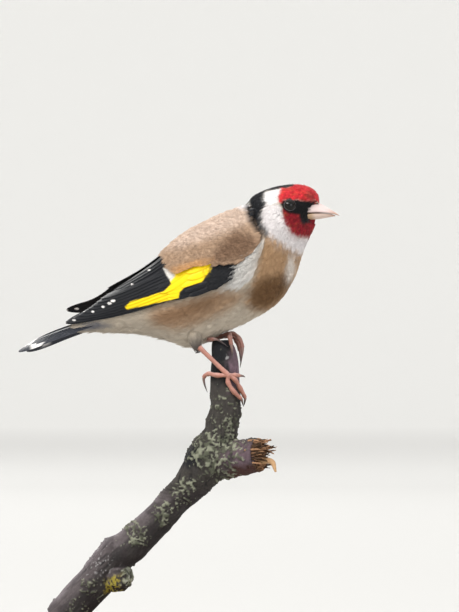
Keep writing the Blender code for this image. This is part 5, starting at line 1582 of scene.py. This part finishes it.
def bark_relief(points, normals):
    """Ridges, cracks, lumps and crumbs of lichen on the bark, as moved points and their tints. The tints hold
    painted light too: a painted highlight on the lower length's upper side, painted shade on its lower side,
    and partly painted shade in the grooves and cracks.
    """
    calm = smooth((97.0 - points[:, 2]) / 6.0) * 0.7 + 0.3
    along = np.array((0.72, 0.0, 0.69))
    lower = smooth((64.0 - points[:, 2]) / 6.0)
    way = unit(np.array((0.0, 0.0, 1.0)) * (1 - lower[:, None]) + along * lower[:, None])
    squeezed = points - np.sum(points * way, axis=1, keepdims=True) * way * 0.78
    ridges = 0.6 * grain(squeezed, 1.6, 21) + 0.4 * grain(squeezed, 0.7, 22)
    lumps = grain(points, 3.2, 23)
    crumbs = 0.5 * grain(points, 0.85, 24) + 0.5 * grain(points, 0.5, 25)
    uphill = 0.69 * normals[:, 2] - 0.72 * normals[:, 0]
    seen = seen_at(points)
    seen = seen + (np.column_stack((lumps, grain(points, 2.6, 34))) - 0.5) * 4.0
    lichen_place = near_any(seen, LICHEN_SPOTS)
    crust = smooth((crumbs - 0.80 + 0.55 * lichen_place) / 0.10)
    flakes = near_any(seen, FLAKE_SPOTS)
    sleek = lower * (1 - flakes) * 0.8
    cracks = smooth((0.20 - np.abs(ridges - 0.5)) / 0.06) * smooth((grain(points, 4.0, 30) - 0.45) * 4)
    height = 1.25 * (ridges - 0.5) * (1 - 0.75 * sleek) + 0.8 * (lumps - 0.5) * (1 - 0.4 * sleek)
    height = height + crust * 0.45 + 0.5 * flakes * (crumbs - 0.4) - 0.12 * cracks * sleek
    moved = points + normals * (height * calm)[:, None]
    rust = smooth((seen[:, 0] - 16) / 4) * smooth((72.0 - seen[:, 1]) / 2)
    pale = smooth((grain(points, 1.3, 27) - 0.4) * 4)
    lichen = blend_tone(np.array(BARK_TONES["lichen"]), BARK_TONES["pale lichen"], pale)
    orange = near_any(seen, ORANGE_SPOTS) * smooth((crumbs - 0.45) * 9)
    broken = smooth((points[:, 0] - 29.2) / 1.2) * smooth((82.0 - points[:, 2]) / 1.0)
    tone = layered(np.array(BARK_TONES["rough"]), (
        (BARK_TONES["smooth"], lower * 0.85),
        (BARK_TONES["sunlit"], lower * smooth(uphill * 1.6 - 0.75) * 0.6),
        # Painted shade on the lower length's downward side.
        (BARK_TONES["underside"], lower * smooth(0.55 - uphill * 1.5) * 0.8),
        (BARK_TONES["purple"], near_any(seen, PURPLE_SPOTS) * 0.9),
        # Darker in the grooves and cracks: partly the bark's own darker fissures, partly painted shade in
        # these hollows.
        (BARK_TONES["groove"], smooth((0.42 - ridges) * 7) * (0.75 - 0.35 * sleek)),
        (BARK_TONES["crack"], cracks * sleek * 0.7),
        (BARK_TONES["dark"], near_any(seen, DARK_SPOTS) * 0.92),
        (BARK_TONES["rust"], rust * 0.8),
        (lichen, crust * 0.9),
        (BARK_TONES["flake"], flakes * smooth((crumbs - 0.62) * 9) * 0.6),
        (BARK_TONES["orange lichen"], orange * 0.9),
        (BARK_TONES["broken"], broken),
    ))
    return moved, tone * (0.8 + 0.4 * grain(points, 0.5, 29))[:, None]


def build_splinters(finish):
    """Torn fibres of pale wood at the stub's broken end."""
    draw = np.random.default_rng(7)
    end, before = np.array(STUB[-1][:3]), np.array(STUB[-2][:3])
    axis = unit(end - before)
    side = unit(np.cross(axis, (0.0, 0.0, 1.0)))
    up = np.cross(side, axis)
    parts, tints = [], []
    for _ in range(SPLINTERS):
        reach = STUB[-1][3] * 0.93 * math.sqrt(draw.random())
        angle = draw.uniform(0, FULL_TURN)
        share = reach / STUB[-1][3]
        base = end - axis * 2.5 + reach * (math.cos(angle) * side + math.sin(angle) * up)
        length = 2.8 + draw.uniform(0.5, 5.2) * (1.15 - 0.55 * share)
        if math.sin(angle) > 0.2:
            length += 1.6
        bend = draw.normal(0, 1.4, 3) + np.array((0.0, -0.2, -0.5))
        line = [base, base + axis * length * 0.5, base + axis * length + bend * 0.5]
        rows = spline(line, np.linspace(0, 2, 10))
        thick = draw.uniform(0.3, 0.95)
        radii = thick * np.linspace(1, 0.25, 10)
        points, faces = tube(rows, radii, SPLINTER_SIDES, blunt=0.8)
        # About a third of the fibres are painted much darker, as painted shade for the dark gaps among them.
        tone = np.array(SPLINTER_TONE) * (0.2 if draw.random() < 0.35 else draw.uniform(0.5, 1.3))
        parts.append((points, faces))
        tints.append(np.tile(tone, (len(points), 1)))
    share = np.linspace(0, 1, 24)
    radii = np.interp(share, (0, 0.6, 1), (1.2, 0.95, 0.35))
    points, faces = tube(spline(STRIP, share * 2), radii, 12, blunt=0.4)
    parts.append((points, faces))
    tints.append(np.array(STRIP_TONE) * (0.7 + 0.5 * grain(points, 0.5, 33))[:, None])
    points, faces = merge(parts)
    place(add_piece("perch_splinters", points, faces, finish, np.concatenate(tints)), "bark")


def turned(profile, sides, centre_x=0.0):
    """Rings of points about an upright axis, from (radius, height) pairs."""
    angle = round_angles(sides)
    return np.concatenate([
        np.column_stack((centre_x + r * np.cos(angle), r * np.sin(angle), np.full(sides, z)))
        for r, z in profile
    ])


def turned_piece(name, profile, centre_x, finish, slot, node):
    """A solid of revolution about an upright axis, from (radius, height) pairs, bottom to top."""
    ends = np.array([(centre_x, 0.0, z) for z in (profile[0][1], profile[-1][1])])
    points, faces = closed(turned(profile, TURNED_SIDES, centre_x), TURNED_SIDES, ends)
    place(add_piece(name, points, faces, finish, crease_deg=35), slot, node)


def walnut_finish():
    """Dark wood with fine grain lines."""
    made = material("walnut", 0.32, 0.5, 0.01, coat=0.25, colour=(0.09, 0.04, 0.02), stretch=(0.1, 1.0, 1.0))
    tree = made.node_tree
    noise = add_noise(tree, WALNUT_GRAIN, 6.0, 1.6)
    ramp = tree.nodes.new("ShaderNodeValToRGB")
    for stop, (position, colour) in zip(ramp.color_ramp.elements, WALNUT_STOPS):
        stop.position = position
        stop.color = colour
    tree.links.new(noise.outputs["Fac"], ramp.inputs["Fac"])
    tree.links.new(ramp.outputs["Color"], tree.nodes["Principled BSDF"].inputs["Base Color"])
    return made


def build_stand():
    r, h, b = BASE_RADIUS, BASE_HEIGHT, BASE_BEVEL
    curve = [(r - b + b * math.cos(a), h - b + b * math.sin(a)) for a in np.linspace(0, math.pi / 2, 8)]
    disc = [(r - b / 2, 0.0), (r, b / 2), *curve]
    turned_piece("base_disc", disc, 0.0, walnut_finish(), "stand_walnut", "stand_base")
    steel = material(
        "steel", 0.28, 0.3, 0.004, metallic=1.0, colour=(0.58, 0.58, 0.59), stretch=(1.0, 1.0, 0.05)
    )
    top, r = BRANCH_CUT_Z - GAP / 2, ROD_RADIUS
    foot = [(r + out, h + up) for out, up in COLLAR]
    neck = [(r, top - 1.8), (r + 0.6, top - 1.5), (r + 0.6, top - 0.3), (r + 0.3, top)]
    turned_piece("post", foot + neck, ROD_X, steel, "stand_steel", "stand_rod")


# The studio.

def build_studio():
    """A pale floor that curves up into a pale wall all round, and soft light."""
    edge, curve = FLOOR_RADII[-1], WALL_CURVE
    profile = [(r, 0.0) for r in FLOOR_RADII]
    for a in np.linspace(0.05, math.pi / 2, 24):
        profile.append((edge + curve * math.sin(a), curve - curve * math.cos(a)))
    profile.append((edge + curve, WALL_TOP))
    pale = material("pale_paper", 0.85, 2.0, 0.02, specular=0.1)
    # Painted shade near the middle of the floor, against the lamps' light.
    tone = np.interp([r for r, _ in profile], TONE_RADII, (FLOOR_TONE, WALL_TONE))
    tints = np.repeat(tone, STUDIO_SIDES)[:, None] * np.array(PAPER_TINT)
    faces = grid_faces(len(profile), STUDIO_SIDES, True)
    floor = add_piece("floor", turned(profile, STUDIO_SIDES) / MM, faces, pale, tints)
    world = bpy.data.worlds.new("studio")
    world.use_nodes = True
    sky = world.node_tree.nodes["Background"]
    sky.inputs["Color"].default_value = SKY_TONE
    sky.inputs["Strength"].default_value = SKY_STRENGTH
    bpy.context.scene.world = world
    for lamp in LAMPS:
        add_lamp(*lamp)


def add_lamp(name, spot, size, watts, colour):
    data = bpy.data.lights.new(name, "AREA")
    data.shape = "RECTANGLE"
    data.size, data.size_y = size
    data.energy = watts
    data.color = colour
    lamp = bpy.data.objects.new(name, data)
    lamp.location = spot
    aim = Vector(LAMP_AIM) - Vector(spot)
    lamp.rotation_mode = "QUATERNION"
    lamp.rotation_quaternion = aim.to_track_quat("-Z", "Y")
    bpy.context.scene.collection.objects.link(lamp)


def build_camera():
    data = bpy.data.cameras.new("camera")
    data.sensor_width = SENSOR
    data.lens = SENSOR * VIEW_DISTANCE / PICTURE_HEIGHT
    data.clip_start, data.clip_end = 0.1, 60.0
    camera = bpy.data.objects.new("camera", data)
    turn = math.radians(VIEW_TURN_DEG)
    back = Vector((math.sin(turn), -math.cos(turn), 0.0))
    camera.location = Vector(VIEW_CENTRE) * MM + back * VIEW_DISTANCE * MM
    camera.rotation_mode = "QUATERNION"
    camera.rotation_quaternion = (-back).to_track_quat("-Z", "Y")
    bpy.context.scene.collection.objects.link(camera)
    bpy.context.scene.camera = camera


def main():
    plumage = material("plumage", 0.85, 0.25, 0.05, specular=0.12, sheen=0.12)
    flight = material("flight_feathers", 0.42, 0.30, 0.03, specular=0.22, stretch=(0.3, 1.0, 1.0))
    build_skin(plumage)
    build_body_coat(plumage)
    build_thigh_coat(plumage)
    build_mantle_coat(plumage)
    build_back_coat(plumage)
    build_wing_fronts(flight)
    build_wisps(plumage)
    for word in SIDE_OF:
        build_wing(word, flight)
    build_tail(flight)
    eye = material("eye", 0.03, 0.5, 0.001, specular=0.3)
    build_eyes(eye, material("lid", 0.7, 0.2, 0.03, specular=0.2))
    bill = material("bill", 0.36, 0.5, 0.03, stretch=(0.3, 1.0, 1.0))
    build_mandible("upper_mandible", "bill_upper", UPPER_MANDIBLE, UPPER_TIP, bill)
    build_mandible("lower_mandible", "bill_lower", LOWER_MANDIBLE, LOWER_TIP, bill)
    legs = material("leg", 0.45, 0.35, 0.05)
    claws = material("claw", 0.3, 0.4, 0.02, stretch=(1.0, 1.0, 0.3))
    for word in SIDE_OF:
        build_leg(word, legs, claws)
    wood = material("bark_wood", 0.8, 0.35, 0.12, specular=0.2)
    build_perch(wood)
    build_splinters(wood)
    build_stand()
    build_studio()
    build_camera()
    bpy.context.scene.view_settings.view_transform = "Standard"


main()
